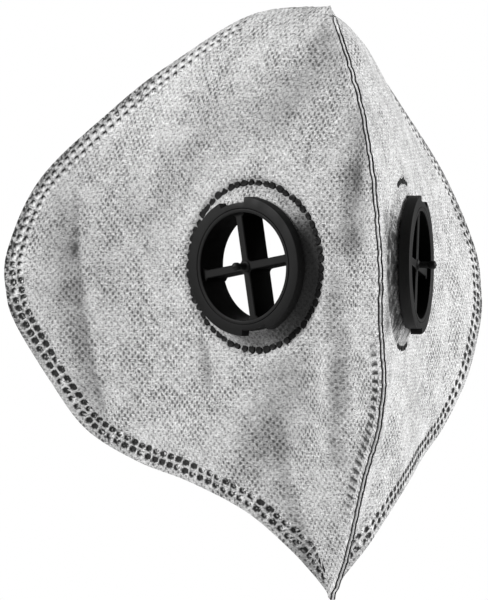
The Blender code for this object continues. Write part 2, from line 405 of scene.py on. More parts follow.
def bond_points(g: Graph, place: bpy.types.NodeSocket, pitch: bpy.types.NodeSocket,
                size: bpy.types.NodeSocket) -> bpy.types.NodeSocket:
    """Two staggered lattices of small oval bond points, each of its own size.

    Args:
        g: The graph.
        place: Cloth coordinates in millimetres.
        pitch: How far apart the points are.
        size: Their radius.

    Returns:
        A mask, 1 in a bond point.
    """
    row_pitch = g.maths("MULTIPLY", pitch, 1.15)
    cell = g.node("ShaderNodeCombineXYZ", {"X": pitch, "Y": row_pitch, "Z": 1.0}).outputs[0]
    middle_of_cell, oval = (0.5, 0.5, 0.5), (1.0, 0.72, 0.0)
    lattices = []
    for offset in ((0.0, 0.0, 0.5), (0.5, 0.5, 0.5)):
        spot = g.vector("ADD", g.vector("DIVIDE", place, cell), offset)
        middle = g.vector("SUBTRACT", g.vector("FRACTION", spot), middle_of_cell)
        away = g.vector("MULTIPLY", g.vector("MULTIPLY", middle, cell), oval)
        which = g.node("ShaderNodeTexWhiteNoise", {"Vector": g.vector("FLOOR", spot)})
        own_size = g.remap(which.outputs["Value"], 0.0, 1.0, 0.55, 1.25)
        radius = g.maths("MULTIPLY", size, own_size)
        lattices.append(g.maths("DIVIDE", g.vector("LENGTH", away), radius))
    return g.remap(g.maths("MINIMUM", *lattices), 1.15, 0.55)


def crossing_fibres(g: Graph, place: bpy.types.NodeSocket) -> bpy.types.NodeSocket:
    """Thin fibres that cross in four directions.

    Args:
        g: The graph.
        place: Cloth coordinates in millimetres.

    Returns:
        A mask, 1 on a fibre.
    """
    across, along = 1.25, 0.32
    strands = None
    for turn, scale, thin in ((0.5, 1.0, 0.04), (-0.9, 1.25, 0.038), (1.9, 0.9, 0.042),
                              (2.7, 1.1, 0.04)):
        turned = g.node("ShaderNodeMapping", {
            "Vector": place, "Rotation": (0, 0, turn), "Scale": (along * scale, across * scale, 1)})
        web = g.noise(turned.outputs["Vector"], 1.0, 2.0, 0.55)
        line = g.remap(g.maths("ABSOLUTE", g.maths("SUBTRACT", web, 0.5)), thin, 0.0)
        strands = line if strands is None else g.maths("MAXIMUM", strands, line)
    return strands


def bonded_web_group() -> bpy.types.NodeTree:
    """Point-bonded nonwoven on cloth coordinates in millimetres: a staggered lattice of small
    bond points, fine crossing fibres, gaps between them, and clouds where the web is thin.

    Returns:
        The node group.
    """
    group, g, start, end = new_group(
        "Point-bonded web",
        {
            "Cloth": ("NodeSocketVector", None),
            "Bond Pitch": ("NodeSocketFloat", 1.6),
            "Bond Size": ("NodeSocketFloat", 0.3),
            "Wander": ("NodeSocketFloat", 0.7),
        },
        ["Bonds", "Fibres", "Clouds", "Gaps"],
    )
    cloth = start.outputs["Cloth"]
    wobble = g.node("ShaderNodeTexNoise", {"Vector": cloth, "Scale": 0.55, "Detail": 2.0})
    shift = g.vector("SUBTRACT", wobble.outputs["Color"], (0.5, 0.5, 0.5))
    place = g.vector("ADD", cloth, g.scale(shift, start.outputs["Wander"]))
    bonds = bond_points(g, place, start.outputs["Bond Pitch"], start.outputs["Bond Size"])
    gaps = g.remap(g.noise(place, 1.7, 1.0, 0.7), 0.42, 0.58)
    fibres = g.maths("MULTIPLY", crossing_fibres(g, place), g.remap(gaps, 0.0, 1.0, 0.35, 1.0))
    wide = g.maths("MULTIPLY", g.noise(cloth, 0.075, 3.0, 0.55), 0.78)
    fine = g.maths("MULTIPLY", g.noise(cloth, 0.42, 3.0, 0.6), 0.22)
    clouds = g.remap(g.maths("ADD", wide, fine), 0.38, 0.62)
    for key, value in (("Bonds", bonds), ("Fibres", fibres), ("Clouds", clouds), ("Gaps", gaps)):
        g.link(value, end.inputs[key])
    return group


def moulded_grain_group() -> bpy.types.NodeTree:
    """Fine spark-eroded grain of a moulding, faint flow marks and settled dust.

    Returns:
        The node group.
    """
    group, g, start, end = new_group(
        "Moulded grain",
        {"Place": ("NodeSocketVector", None), "Grain": ("NodeSocketFloat", 4.0)},
        ["Height", "Dust", "Flow"],
    )
    place = g.scale(start.outputs["Place"], 1 / MM)
    grain = g.noise(g.scale(place, start.outputs["Grain"]), 1.0, 2.0, 0.6)
    flow = g.noise(place, 0.18, 2.0, 0.5)
    specks = g.remap(g.noise(place, 2.6, 2.0, 0.7), 0.66, 0.78)
    patches = g.remap(g.noise(place, 0.12, 2.0, 0.5), 0.42, 0.7)
    dust = g.maths("MULTIPLY", specks, patches)
    for key, value in (("Height", grain), ("Dust", dust), ("Flow", flow)):
        g.link(value, end.inputs[key])
    return group


# ---- finishes --------------------------------------------------------------------------------


def grey(level: float) -> tuple[float, float, float, float]:
    """A neutral colour."""
    return (level, level, level, 1.0)


def new_material(name: str) -> tuple[bpy.types.Material, Graph, bpy.types.Node]:
    """Start a material with nodes.

    Args:
        name: The material's name.

    Returns:
        The material, its graph and its shader.
    """
    material = bpy.data.materials.new(name)
    material.use_nodes = True
    return material, Graph(material.node_tree), material.node_tree.nodes["Principled BSDF"]


@dataclass(frozen=True)
class WebFinish:
    """A nonwoven sheet: bonded web colours and relief.

    light and thin are the web's colours where it is thick and thin, and the shares say how far
    each effect goes. The "marks" of the mesh hold weld floors, painted shade (on one wall of
    each weld mark, in the stitch dents, round the port and along creases), tones and the hem.
    """

    name: str
    light: float
    thin: float
    bond: float
    fibre: float
    bond_size: float = 0.3
    bond_pitch: float = 1.6
    bond_share: float = 0.8
    least_bond: float = 0.45
    cloud_share: float = 0.6
    gap_share: float = 0.62
    gap_tone: float = 0.4
    fibre_share: float = 0.85
    weld_bright: float = 0.75
    # the colour of dark weld floors and of all painted shade
    weld_and_shade_dark: float = 0.03
    hem_tone: float = 0.1
    roughness: float = 0.92
    weld_gloss: float = 0.42
    relief: float = 0.09
    fibre_relief: float = 0.55
    sheen: float = 0.03
    sheen_roughness: float = 0.6
    specular: float = 0.1

    def make(self, web: bpy.types.NodeTree) -> bpy.types.Material:
        """Build the material.

        Args:
            web: The point-bonded web group.

        Returns:
            The material.
        """
        material, g, shader = new_material(self.name)
        cloth = g.node("ShaderNodeUVMap", uv_map="Cut").outputs["UV"]
        group = g.node("ShaderNodeGroup", node_tree=web)
        group.inputs["Bond Pitch"].default_value = self.bond_pitch
        group.inputs["Bond Size"].default_value = self.bond_size
        g.link(cloth, group.inputs["Cloth"])
        bonds, fibres, clouds, gaps = (group.outputs[k] for k in ("Bonds", "Fibres", "Clouds", "Gaps"))
        base = g.mix(g.maths("MULTIPLY", clouds, self.cloud_share), grey(self.light), grey(self.thin))
        base = g.mix(g.maths("MULTIPLY", gaps, self.gap_share), base, grey(self.thin * self.gap_tone))
        base = g.mix(g.maths("MULTIPLY", fibres, self.fibre_share), base, grey(self.fibre))
        clear = g.remap(clouds, 0.0, 1.0, self.least_bond, 1.0)
        bonded = g.maths("MULTIPLY", g.maths("MULTIPLY", bonds, self.bond_share), clear)
        base = g.mix(bonded, base, grey(self.bond))
        floor, base = self._welded(g, cloth, base)
        g.link(base, shader.inputs["Base Color"])
        gloss = g.maths("MULTIPLY", floor, self.weld_gloss)
        g.link(g.maths("SUBTRACT", self.roughness, gloss), shader.inputs["Roughness"])
        height = g.maths("SUBTRACT", g.maths("MULTIPLY", fibres, self.fibre_relief), bonds)
        g.link(g.bump(height, self.relief * MM, 0.9), shader.inputs["Normal"])
        shader.inputs["Sheen Weight"].default_value = self.sheen
        shader.inputs["Sheen Roughness"].default_value = self.sheen_roughness
        shader.inputs["Specular IOR Level"].default_value = self.specular
        return material

    def _welded(self, g: Graph, cloth: bpy.types.NodeSocket,
                base: bpy.types.NodeSocket) -> tuple[bpy.types.NodeSocket, bpy.types.NodeSocket]:
        """Lay the hem, the weld marks and the painted shade over the web: a mark's floor is bright where
        the web stayed white and dark where the carbon came through, more often at a higher tone. The
        marks' green channel is painted shade, laid on in the dark colour.

        Args:
            g: The graph.
            cloth: Cloth coordinates in millimetres.
            base: The web's colour.

        Returns:
            The mask of the weld floors, and the new colour.
        """
        marks = g.node("ShaderNodeAttribute", attribute_name="marks")
        parts = g.node("ShaderNodeSeparateColor", {"Color": marks.outputs["Color"]})
        floor, wall, tone = (parts.outputs[k] for k in ("Red", "Green", "Blue"))
        crumbs = g.maths("MULTIPLY", g.noise(cloth, 1.8, 2.0, 0.6), 2.0)
        melted = g.remap(g.maths("ADD", crumbs, g.maths("SUBTRACT", tone, 1.0)), 0.38, 0.62)
        # wall is painted shade: the shadowed wall of each weld mark, the stitch dents, the collar's
        # shadow round the port and the shade along creases
        dark = g.maths("MAXIMUM", g.maths("MULTIPLY", floor, melted), wall, clamp=True)
        bright = g.maths("MULTIPLY", floor, g.maths("SUBTRACT", 1.0, melted))
        mottled = g.remap(g.noise(cloth, 0.95, 2.0, 0.6), 0.42, 0.56, 0.2, 1.0)
        hem = g.maths("MULTIPLY", marks.outputs["Alpha"], mottled)
        base = g.mix(g.maths("MULTIPLY", bright, self.weld_bright), base, grey(self.fibre))
        base = g.mix(hem, base, grey(self.thin * self.hem_tone))
        return floor, g.mix(dark, base, grey(self.weld_and_shade_dark))


@dataclass(frozen=True)
class CarbonFinish:
    """Activated-carbon cloth, which shows as a dark line at the cut edges."""

    name: str = "carbon cloth"
    colour: float = 0.006
    fleck: float = 0.03
    relief: float = 0.08

    def make(self) -> bpy.types.Material:
        """Build the material.

        Returns:
            The material.
        """
        material, g, shader = new_material(self.name)
        place = g.node("ShaderNodeTexCoord").outputs["Object"]
        fine = g.noise(place, 2600.0, 3.0, 0.7)
        flecks = g.remap(g.noise(place, 900.0, 3.0, 0.6), 0.5, 0.75)
        g.link(g.mix(flecks, grey(self.colour), grey(self.fleck)), shader.inputs["Base Color"])
        g.link(g.bump(fine, self.relief * MM), shader.inputs["Normal"])
        g.link(g.remap(flecks, 0, 1, 0.95, 0.75), shader.inputs["Roughness"])
        return material


@dataclass(frozen=True)
class FusedFinish:
    """Melted margin of all sheets: greyish film with fibres and crushed carbon."""

    name: str
    light: float
    dark: float
    relief: float = 0.1

    def make(self) -> bpy.types.Material:
        """Build the material.

        Returns:
            The material.
        """
        material, g, shader = new_material(self.name)
        place = g.node("ShaderNodeTexCoord").outputs["Object"]
        crushed = g.remap(g.noise(place, 1500.0, 4.0, 0.65), 0.35, 0.65)
        fine = g.noise(place, 2800.0, 3.0, 0.6)
        g.link(g.mix(crushed, grey(self.light), grey(self.dark)), shader.inputs["Base Color"])
        g.link(g.bump(fine, self.relief * MM), shader.inputs["Normal"])
        g.link(g.remap(crushed, 0, 1, 0.55, 0.85), shader.inputs["Roughness"])
        return material


@dataclass(frozen=True)
class PlasticFinish:
    """Black moulded plastic."""

    name: str
    colour: float = 0.004
    dust: float = 0.04
    roughness: float = 0.58
    specular: float = 0.2
    dust_share: float = 0.6
    relief: float = 0.02

    def make(self, grain: bpy.types.NodeTree) -> bpy.types.Material:
        """Build the material.

        Args:
            grain: The moulded grain group.

        Returns:
            The material.
        """
        material, g, shader = new_material(self.name)
        group = g.node("ShaderNodeGroup", node_tree=grain)
        g.link(g.node("ShaderNodeTexCoord").outputs["Object"], group.inputs["Place"])
        flow, dust, height = (group.outputs[k] for k in ("Flow", "Dust", "Height"))
        base = g.mix(flow, grey(self.colour * 0.8), grey(self.colour * 1.25))
        base = g.mix(g.maths("MULTIPLY", dust, self.dust_share), base, grey(self.dust))
        g.link(base, shader.inputs["Base Color"])
        rough = g.remap(flow, 0.3, 0.7, self.roughness - 0.06, self.roughness + 0.08)
        g.link(g.maths("ADD", rough, g.maths("MULTIPLY", dust, 0.3)), shader.inputs["Roughness"])
        g.link(g.bump(height, self.relief * MM, 0.6), shader.inputs["Normal"])
        shader.inputs["Specular IOR Level"].default_value = self.specular
        return material


@dataclass
class Finishes:
    """Every material of the mask, made once."""

    outer: bpy.types.Material = field(init=False)
    lining: bpy.types.Material = field(init=False)
    filter_web: bpy.types.Material = field(init=False)
    carbon: bpy.types.Material = field(init=False)
    fused_edge: bpy.types.Material = field(init=False)
    fused_core: bpy.types.Material = field(init=False)
    plastic: bpy.types.Material = field(init=False)
    shaded_bore_plastic: bpy.types.Material = field(init=False)
    weld_dot: bpy.types.Material = field(init=False)

    def __post_init__(self) -> None:
        """Build the groups, then the materials that use them."""
        web, grain = bonded_web_group(), moulded_grain_group()
        self.outer = WebFinish("outer nonwoven", 0.52, 0.2, 0.05, 0.94, bond_size=0.33,
                               bond_pitch=1.62, bond_share=0.8, cloud_share=0.56,
                               gap_share=0.62).make(web)
        self.lining = WebFinish("lining nonwoven", 0.78, 0.6, 0.5, 0.85, bond_size=0.26,
                                bond_share=0.5, cloud_share=0.35, gap_share=0.15,
                                weld_and_shade_dark=0.16).make(web)
        self.filter_web = WebFinish("melt-blown web", 0.8, 0.66, 0.7, 0.85,
                                    bond_share=0.1).make(web)
        self.carbon = CarbonFinish().make()
        self.fused_edge = FusedFinish("fused edge", 0.3, 0.05).make()
        self.fused_core = FusedFinish("fused core", 0.9, 0.55).make()
        self.plastic = PlasticFinish("black moulding").make(grain)
        # painted shade: a darker copy of the black moulding for the bore's walls, also matt and less
        # glossy
        self.shaded_bore_plastic = PlasticFinish("shaded matt bore", 0.0012, 0.008, 0.85, 0.03).make(grain)
        self.weld_dot = PlasticFinish("welded plastic", 0.003, 0.02, 0.6).make(grain)


# ---- the panel's shape -----------------------------------------------------------------------


@dataclass(frozen=True)
class Fold:
    """A soft crease, ridge or darkened patch along a short line on the panel, from (along, up) to
    (along, up). One side of it may be steeper."""

    start: tuple[float, float]
    end: tuple[float, float]
    width: float
    rise: float
    steep: float = 1.0

    def __call__(self, along: np.ndarray, up: np.ndarray) -> np.ndarray:
        """The fold's height at places on the panel.

        Args:
            along: Places on the panel.
            up: Places on the panel.

        Returns:
            Heights, or shares of a darkened patch.
        """
        a, b = np.array(self.start), np.array(self.end)
        way = b - a
        t = np.clip(((along - a[0]) * way[0] + (up - a[1]) * way[1]) / (way @ way), 0, 1)
        away = np.hypot(along - a[0] - t * way[0], up - a[1] - t * way[1])
        turned = way[0] * (up - a[1]) - way[1] * (along - a[0])
        width = np.where(turned < 0, self.width * self.steep, self.width)
        return self.rise * np.exp(-((away / width) ** 2))


@dataclass
class PanelShape:
    """The outer face of a half panel, the same on both sides but for its folds."""

    rim_points: list[tuple[float, float, float]] = field(default_factory=lambda: [
        (0, 0, 74), (13, 27, 71.5), (28, 42, 59), (40, 52, 47), (55, 62, 30), (63.5, 63, 12),
        (64.5, 61, 1), (63, 57.5, -7), (57, 50.5, -20), (49, 46, -32.5), (39, 36, -40.5),
        (30, 21.5, -45.5), (20, 8.5, -52.5), (11, 2, -61.5), (4.5, 0.8, -68.5), (0, 0, -74),
    ])
    seam_points: list[tuple[float, float]] = field(default_factory=lambda: [
        (0, -74), (-8, -65.5), (-15, -56), (-23, -42.5), (-32, -31), (-36, -19), (-33.8, -6),
        (-33.5, 10), (-29.5, 28), (-23, 44), (-14, 57), (-5, 66.5), (0, 74),
    ])
    port_out: float = 19.6
    port_back: float = 1.6
    port_up: float = 9.0
    turn: float = math.radians(31.4)
    flat_radius: float = 24.0
    curve_power: float = 1.5

    def __post_init__(self) -> None:
        """Sample the outline and sort it by its direction from the port."""
        self.rim = self.to_panel(smooth_curve(self.rim_points, 900))
        seam = [(0.0, back, up) for back, up in self.seam_points]
        self.seam = self.to_panel(smooth_curve(seam, 700))
        outline = np.vstack([self.rim, self.seam[1:-1]])
        angle = np.unwrap(np.arctan2(outline[:, 1], outline[:, 0]))
        order = np.argsort(angle)
        self._angles = np.concatenate([angle[order], angle[order] + 2 * math.pi])
        reach = np.hypot(outline[order, 0], outline[order, 1])
        self._reach = np.concatenate([reach, reach])
        self._edge = np.concatenate([outline[order, 2]] * 2)

    def to_panel(self, points: np.ndarray) -> np.ndarray:
        """Turn places in the mask to places on the panel.

        Args:
            points: (out from the middle, back, up) in each row.

        Returns:
            (along, up, out) in each row.
        """
        x, y, z = np.asarray(points, float).T
        x, y = x - self.port_out, y - self.port_back
        sine, cosine = math.sin(self.turn), math.cos(self.turn)
        return np.stack([x * sine + y * cosine, z - self.port_up, x * cosine - y * sine], axis=1)

    def place(self, along: np.ndarray, up: np.ndarray, out: np.ndarray) -> np.ndarray:
        """Turn places on the panel to places in the mask.

        Args:
            along: Distances towards the ear.
            up: Heights above the port's centre.
            out: Heights over the panel plane.

        Returns:
            (out from the middle, back, up) of each place.
        """
        sine, cosine = math.sin(self.turn), math.cos(self.turn)
        x = self.port_out + along * sine + out * cosine
        y = self.port_back + along * cosine - out * sine
        return np.stack([x, y, up + self.port_up], axis=-1)

    def height(self, along: np.ndarray, up: np.ndarray) -> np.ndarray:
        """The smooth height over the panel plane, none round the port.

        Args:
            along: Places on the panel.
            up: Places on the panel.

        Returns:
            The heights.
        """
        angle = np.arctan2(up, along)
        low = self._angles.min()
        wrapped = low + np.mod(angle - low, 2 * math.pi)
        far = np.interp(wrapped, self._angles, self._reach)
        edge = np.interp(wrapped, self._angles, self._edge)
        share = (np.hypot(along, up) - self.flat_radius) / (far - self.flat_radius)
        return edge * np.clip(share, 0, 1.2) ** self.curve_power


NEAREST_AT_ONCE = 20000


def nearest(line: np.ndarray, along: np.ndarray, up: np.ndarray) -> tuple[np.ndarray, np.ndarray]:
    """How far places on the panel are from a line on it.

    Args:
        line: The line's points, as (along, up).
        along: Places on the panel.
        up: Places on the panel.

    Returns:
        The distances, and how far along the line the nearest points lie.
    """
    travelled = lengths_along(line)
    places = np.stack([np.ravel(along), np.ravel(up)], axis=1)
    far, where = np.empty(len(places)), np.empty(len(places))
    for start in range(0, len(places), NEAREST_AT_ONCE):
        chunk = slice(start, start + NEAREST_AT_ONCE)
        square = ((places[chunk, None, :] - line[None, :, :]) ** 2).sum(axis=2)
        best = square.argmin(axis=1)
        far[chunk] = np.sqrt(square[np.arange(len(best)), best])
        where[chunk] = travelled[best]
    return far.reshape(np.shape(along)), where.reshape(np.shape(along))


@dataclass
class Columns:
    """Lines of points that run from the valve hole out to the panel's outline. Most cross the
    welded margin square to the rim; those that end at the centre seam cross its margin."""

    shape: PanelShape
    weld_pitch: float = 2.5
    weld_half: float = 0.78
    weld_across: float = 0.6
    wall: float = 0.22
    rim_margin: float = 7.0
    seam_margin: float = 4.2
    seam_step: float = 0.62
    nose_turn: float = 14.0
    chin_turn: float = 18.0
    corner_points: int = 12
    least_turn: float = 0.0006

    def __post_init__(self) -> None:
        """Place the columns along the rim, then along the seam, and work out their inner ends."""
        rim, seam = self.shape.rim, self.shape.seam
        rim_length, seam_length = lengths_along(rim)[-1], lengths_along(seam)[-1]
        pitches = round(rim_length / self.weld_pitch)
        step = rim_length / pitches
        top = self.weld_half + self.wall
        offsets = np.array([-top, -self.weld_half, 0.0, self.weld_half, top, step / 2])
        centres = (np.arange(pitches) + 0.5) * step
        along_rim = (centres[:, None] + offsets).ravel()
        count = round(seam_length / self.seam_step)
        along_seam = (np.arange(count) + 0.5) * seam_length / count
        self.rim_length, self.seam_length = rim_length, seam_length
        self.on_rim = np.concatenate([np.ones(len(along_rim), bool), np.zeros(count, bool)])
        self.travel = np.concatenate([along_rim, along_seam])
        self.mark = np.concatenate([np.repeat(np.arange(pitches), 6), np.full(count, -1)])
        self.mark_offset = np.concatenate([np.tile(offsets, pitches), np.zeros(count)])
        self.marks = pitches
        self.start, self.tangent = self._points(rim, seam, along_rim, along_seam)
        inward = np.stack([self.tangent[:, 1], -self.tangent[:, 0]], axis=1)
        inward, margin = self._turn_at_corners(inward)
        inner = self.start[:, :2] + margin[:, None] * inward
        self.inner, self.angle = self._untangle(inner)
        leaning = self.inner - self.start[:, :2]
        self.margin = np.linalg.norm(leaning, axis=1)
        self.inward = leaning / self.margin[:, None]
        self.forward = self._forward(along_seam, len(along_rim))

    def _points(self, rim: np.ndarray, seam: np.ndarray, along_rim: np.ndarray,
                along_seam: np.ndarray) -> tuple[np.ndarray, np.ndarray]:
        """Find the columns' outer ends.

        Args:
            rim: The rim's points.
            seam: The seam's points.
            along_rim: Distances along the rim.
            along_seam: Distances along the seam.

        Returns:
            Points and unit tangents on the outline, in panel coordinates.
        """
        points, tangents = [], []
        for line, places in ((rim, along_rim), (seam, along_seam)):
            travelled = lengths_along(line)
            at = np.clip(places, 0, travelled[-1])
            found = np.stack([np.interp(at, travelled, axis) for axis in line.T], axis=1)
            slope = np.gradient(line[:, :2], travelled, axis=0)
            slope = np.stack([np.interp(at, travelled, axis) for axis in slope.T], axis=1)
            points.append(found)
            tangents.append(slope / np.linalg.norm(slope, axis=1)[:, None])
        return np.vstack(points), np.vstack(tangents)

    def _turn_at_corners(self, inward: np.ndarray) -> tuple[np.ndarray, np.ndarray]:
        """Lean the columns near the nose and the chin towards the corner's middle line.

        Args:
            inward: Each column's direction, square to the outline.

        Returns:
            The new directions, and the width of the margin at each column.
        """
        margin = np.where(self.on_rim, self.rim_margin, self.seam_margin)
        to_nose = np.where(self.on_rim, self.travel, self.seam_length - self.travel)
        to_chin = np.where(self.on_rim, self.rim_length - self.travel, self.travel)
        rim, seam, n = self.shape.rim[:, :2], self.shape.seam[:, :2], self.corner_points
        for away, reach, a, b in (
            (to_nose, self.nose_turn, rim[n] - rim[0], seam[-n - 1] - seam[-1]),
            (to_chin, self.chin_turn, rim[-n - 1] - rim[-1], seam[n] - seam[0]),
        ):
            middle = a / np.linalg.norm(a) + b / np.linalg.norm(b)
            middle /= np.linalg.norm(middle)
            share = (1 - ease(away, 0, reach))[:, None]
            inward = inward * (1 - share) + middle * share
            margin = margin * (1 - share[:, 0]) + self.rim_margin * share[:, 0]
        return inward / np.linalg.norm(inward, axis=1)[:, None], margin

    def _untangle(self, inner: np.ndarray) -> tuple[np.ndarray, np.ndarray]:
        """Keep the columns in order round the port, so that none crosses its neighbour.

        Args:
            inner: The columns' inner ends.

        Returns:
            The moved inner ends, and their directions from the port.
        """
        angle = np.unwrap(np.arctan2(inner[:, 1], inner[:, 0]))
        slope = np.arange(len(angle)) * self.least_turn
        falling = np.minimum.accumulate(angle + slope) - slope
        rising = np.maximum.accumulate((angle + slope)[::-1])[::-1] - slope
        settled = (falling + rising) / 2
        reach = np.linalg.norm(inner, axis=1)[:, None]
        return reach * np.stack([np.cos(settled), np.sin(settled)], axis=1), settled

    def _forward(self, along_seam: np.ndarray, before: int) -> np.ndarray:
        """Find which way the fin stands at each column, in the mask's middle plane.

        Args:
            along_seam: Distances of the seam columns along the seam.
            before: How many columns come before them.

        Returns:
            Unit directions, none for the columns on the rim.
        """
        line = smooth_curve(self.shape.seam_points, 700)
        travelled = lengths_along(line)
        slope = np.gradient(line, travelled, axis=0)
        at = along_seam / self.seam_length * travelled[-1]
        slope = np.stack([np.interp(at, travelled, axis) for axis in slope.T], axis=1)
        slope /= np.linalg.norm(slope, axis=1)[:, None]
        forward = np.zeros((before + len(along_seam), 3))
        forward[before:, 1], forward[before:, 2] = -slope[:, 1], slope[:, 0]
        return forward


# ---- sheets ----------------------------------------------------------------------------------


@dataclass
class Layer:
    """One sheet of the panel, as depths below the outer face and half widths in the fin."""

    node: str
    outer: float
    inner: float
    margin_outer: float
    margin_inner: float
    fin_outer: float
    fin_inner: float
    hole: float
    slot: str


LAYERS = {
    "outer": Layer("outer_cover", 0.0, 0.42, 0.45, 0.92, 0.7, 0.57, 16.15, "outer_nonwoven"),
    "carbon": Layer("carbon_layer", 0.52, 1.12, 0.96, 1.04, 0.54, 0.3, 15.3, "carbon_cloth"),
    "filter": Layer("filter_layer", 1.22, 1.7, 1.07, 1.16, 0.24, 0.17, 15.3, "melt_blown"),
    "lining": Layer("lining", 1.8, 2.4, 1.28, 1.75, 0.18, 0.08, 15.1, "lining_nonwoven"),
}


def seam_sway(travel: np.ndarray) -> np.ndarray:
    """How far the fin wanders sideways, at distances from the chin along the seam."""
    noise = SmoothNoise(77)
    return 0.16 * noise.line(travel, 2.3) + 0.1 * noise.line(travel, 0.9, 9)


@dataclass(frozen=True)
class HalfCharacter:
    """What makes one half differ from the other.

    folds shape the cloth, and the darkening patches after them are painted shade along creases, hollows
    and beside the port, the wide patch by the ear also standing for darker cloth. The weld marks start
    at first_mark along the rim and darken by darkest_weld towards the chin. The groove's darkness is
    painted shade in the groove of weld dots, and the cone's pair is the plain and the uneven share of
    the collar's painted shadow on the cone.
    """

    seed: int
    first_mark: float
    darkest_weld: float
    groove_depth: float
    groove_shade: float
    stitch_share: float
    cone_shadow_mix: tuple[float, float]
    folds: tuple[Fold, ...]
    shade_and_stains: tuple[Fold, ...]


SEAM_HOLLOW = Fold((-31, 36), (-33, 4), 4.5, -1.1)
CHARACTERS = {
    Side.LEFT: HalfCharacter(
        seed=11, first_mark=29.0, darkest_weld=0.56, groove_depth=0.32, groove_shade=0.45,
        stitch_share=1.0, cone_shadow_mix=(1.0, 0.0),
        folds=(
            SEAM_HOLLOW,
            Fold((58.5, 19), (47.5, -36), 3.6, -0.55),
            Fold((64, 14), (56, -26), 5.0, 0.5),
            Fold((-25, -8), (-30, -34), 4.0, -2.0),
            Fold((-24.5, -24), (-21.5, -46), 3.4, 2.4),
            Fold((-11, -30), (-4, -45), 7.0, -2.2),
            Fold((9, -47), (20, -42), 6.0, 1.3),
            Fold((15.5, -18), (14, -27), 1.8, -1.0, 0.5),
            Fold((4, 42), (30, 36), 9.0, 1.2),
        ),
        shade_and_stains=(
            Fold((-31, 36), (-30.5, 6), 4.0, 0.6),
            Fold((-26, -4), (-28, -22), 3.2, 0.26),
            Fold((-12, -30), (-5, -44), 7.5, 0.3),
            Fold((-20, 56), (-4, 40), 8.0, 0.3),
            Fold((57, 8), (47.5, -38), 4.5, 0.3, 0.3),
            Fold((62, 20), (58, -8), 13.0, 0.24),
            Fold((58.5, 19), (47.5, -36), 0.55, 0.3),
            Fold((14, 36), (38, 10), 10.0, 0.2),
            Fold((16, -20), (14.5, -30), 2.4, 0.3, 0.4),
        ),
    ),
    Side.RIGHT: HalfCharacter(
        seed=23, first_mark=56.0, darkest_weld=0.26, groove_depth=0.16, groove_shade=0.1,
        stitch_share=0.5, cone_shadow_mix=(0.8, 0.5),
        folds=(
            SEAM_HOLLOW,
            Fold((-26, -14), (-30, -30), 5.0, -1.0),
            Fold((-8, -34), (-3, -50), 7.0, -1.0),
            Fold((55, 12), (47, -32), 3.5, -0.5),
            Fold((6, 44), (32, 34), 9.0, 0.7),
        ),
        shade_and_stains=(Fold((-21.5, 12), (-20.5, -14), 2.6, 0.7),),
    ),
}


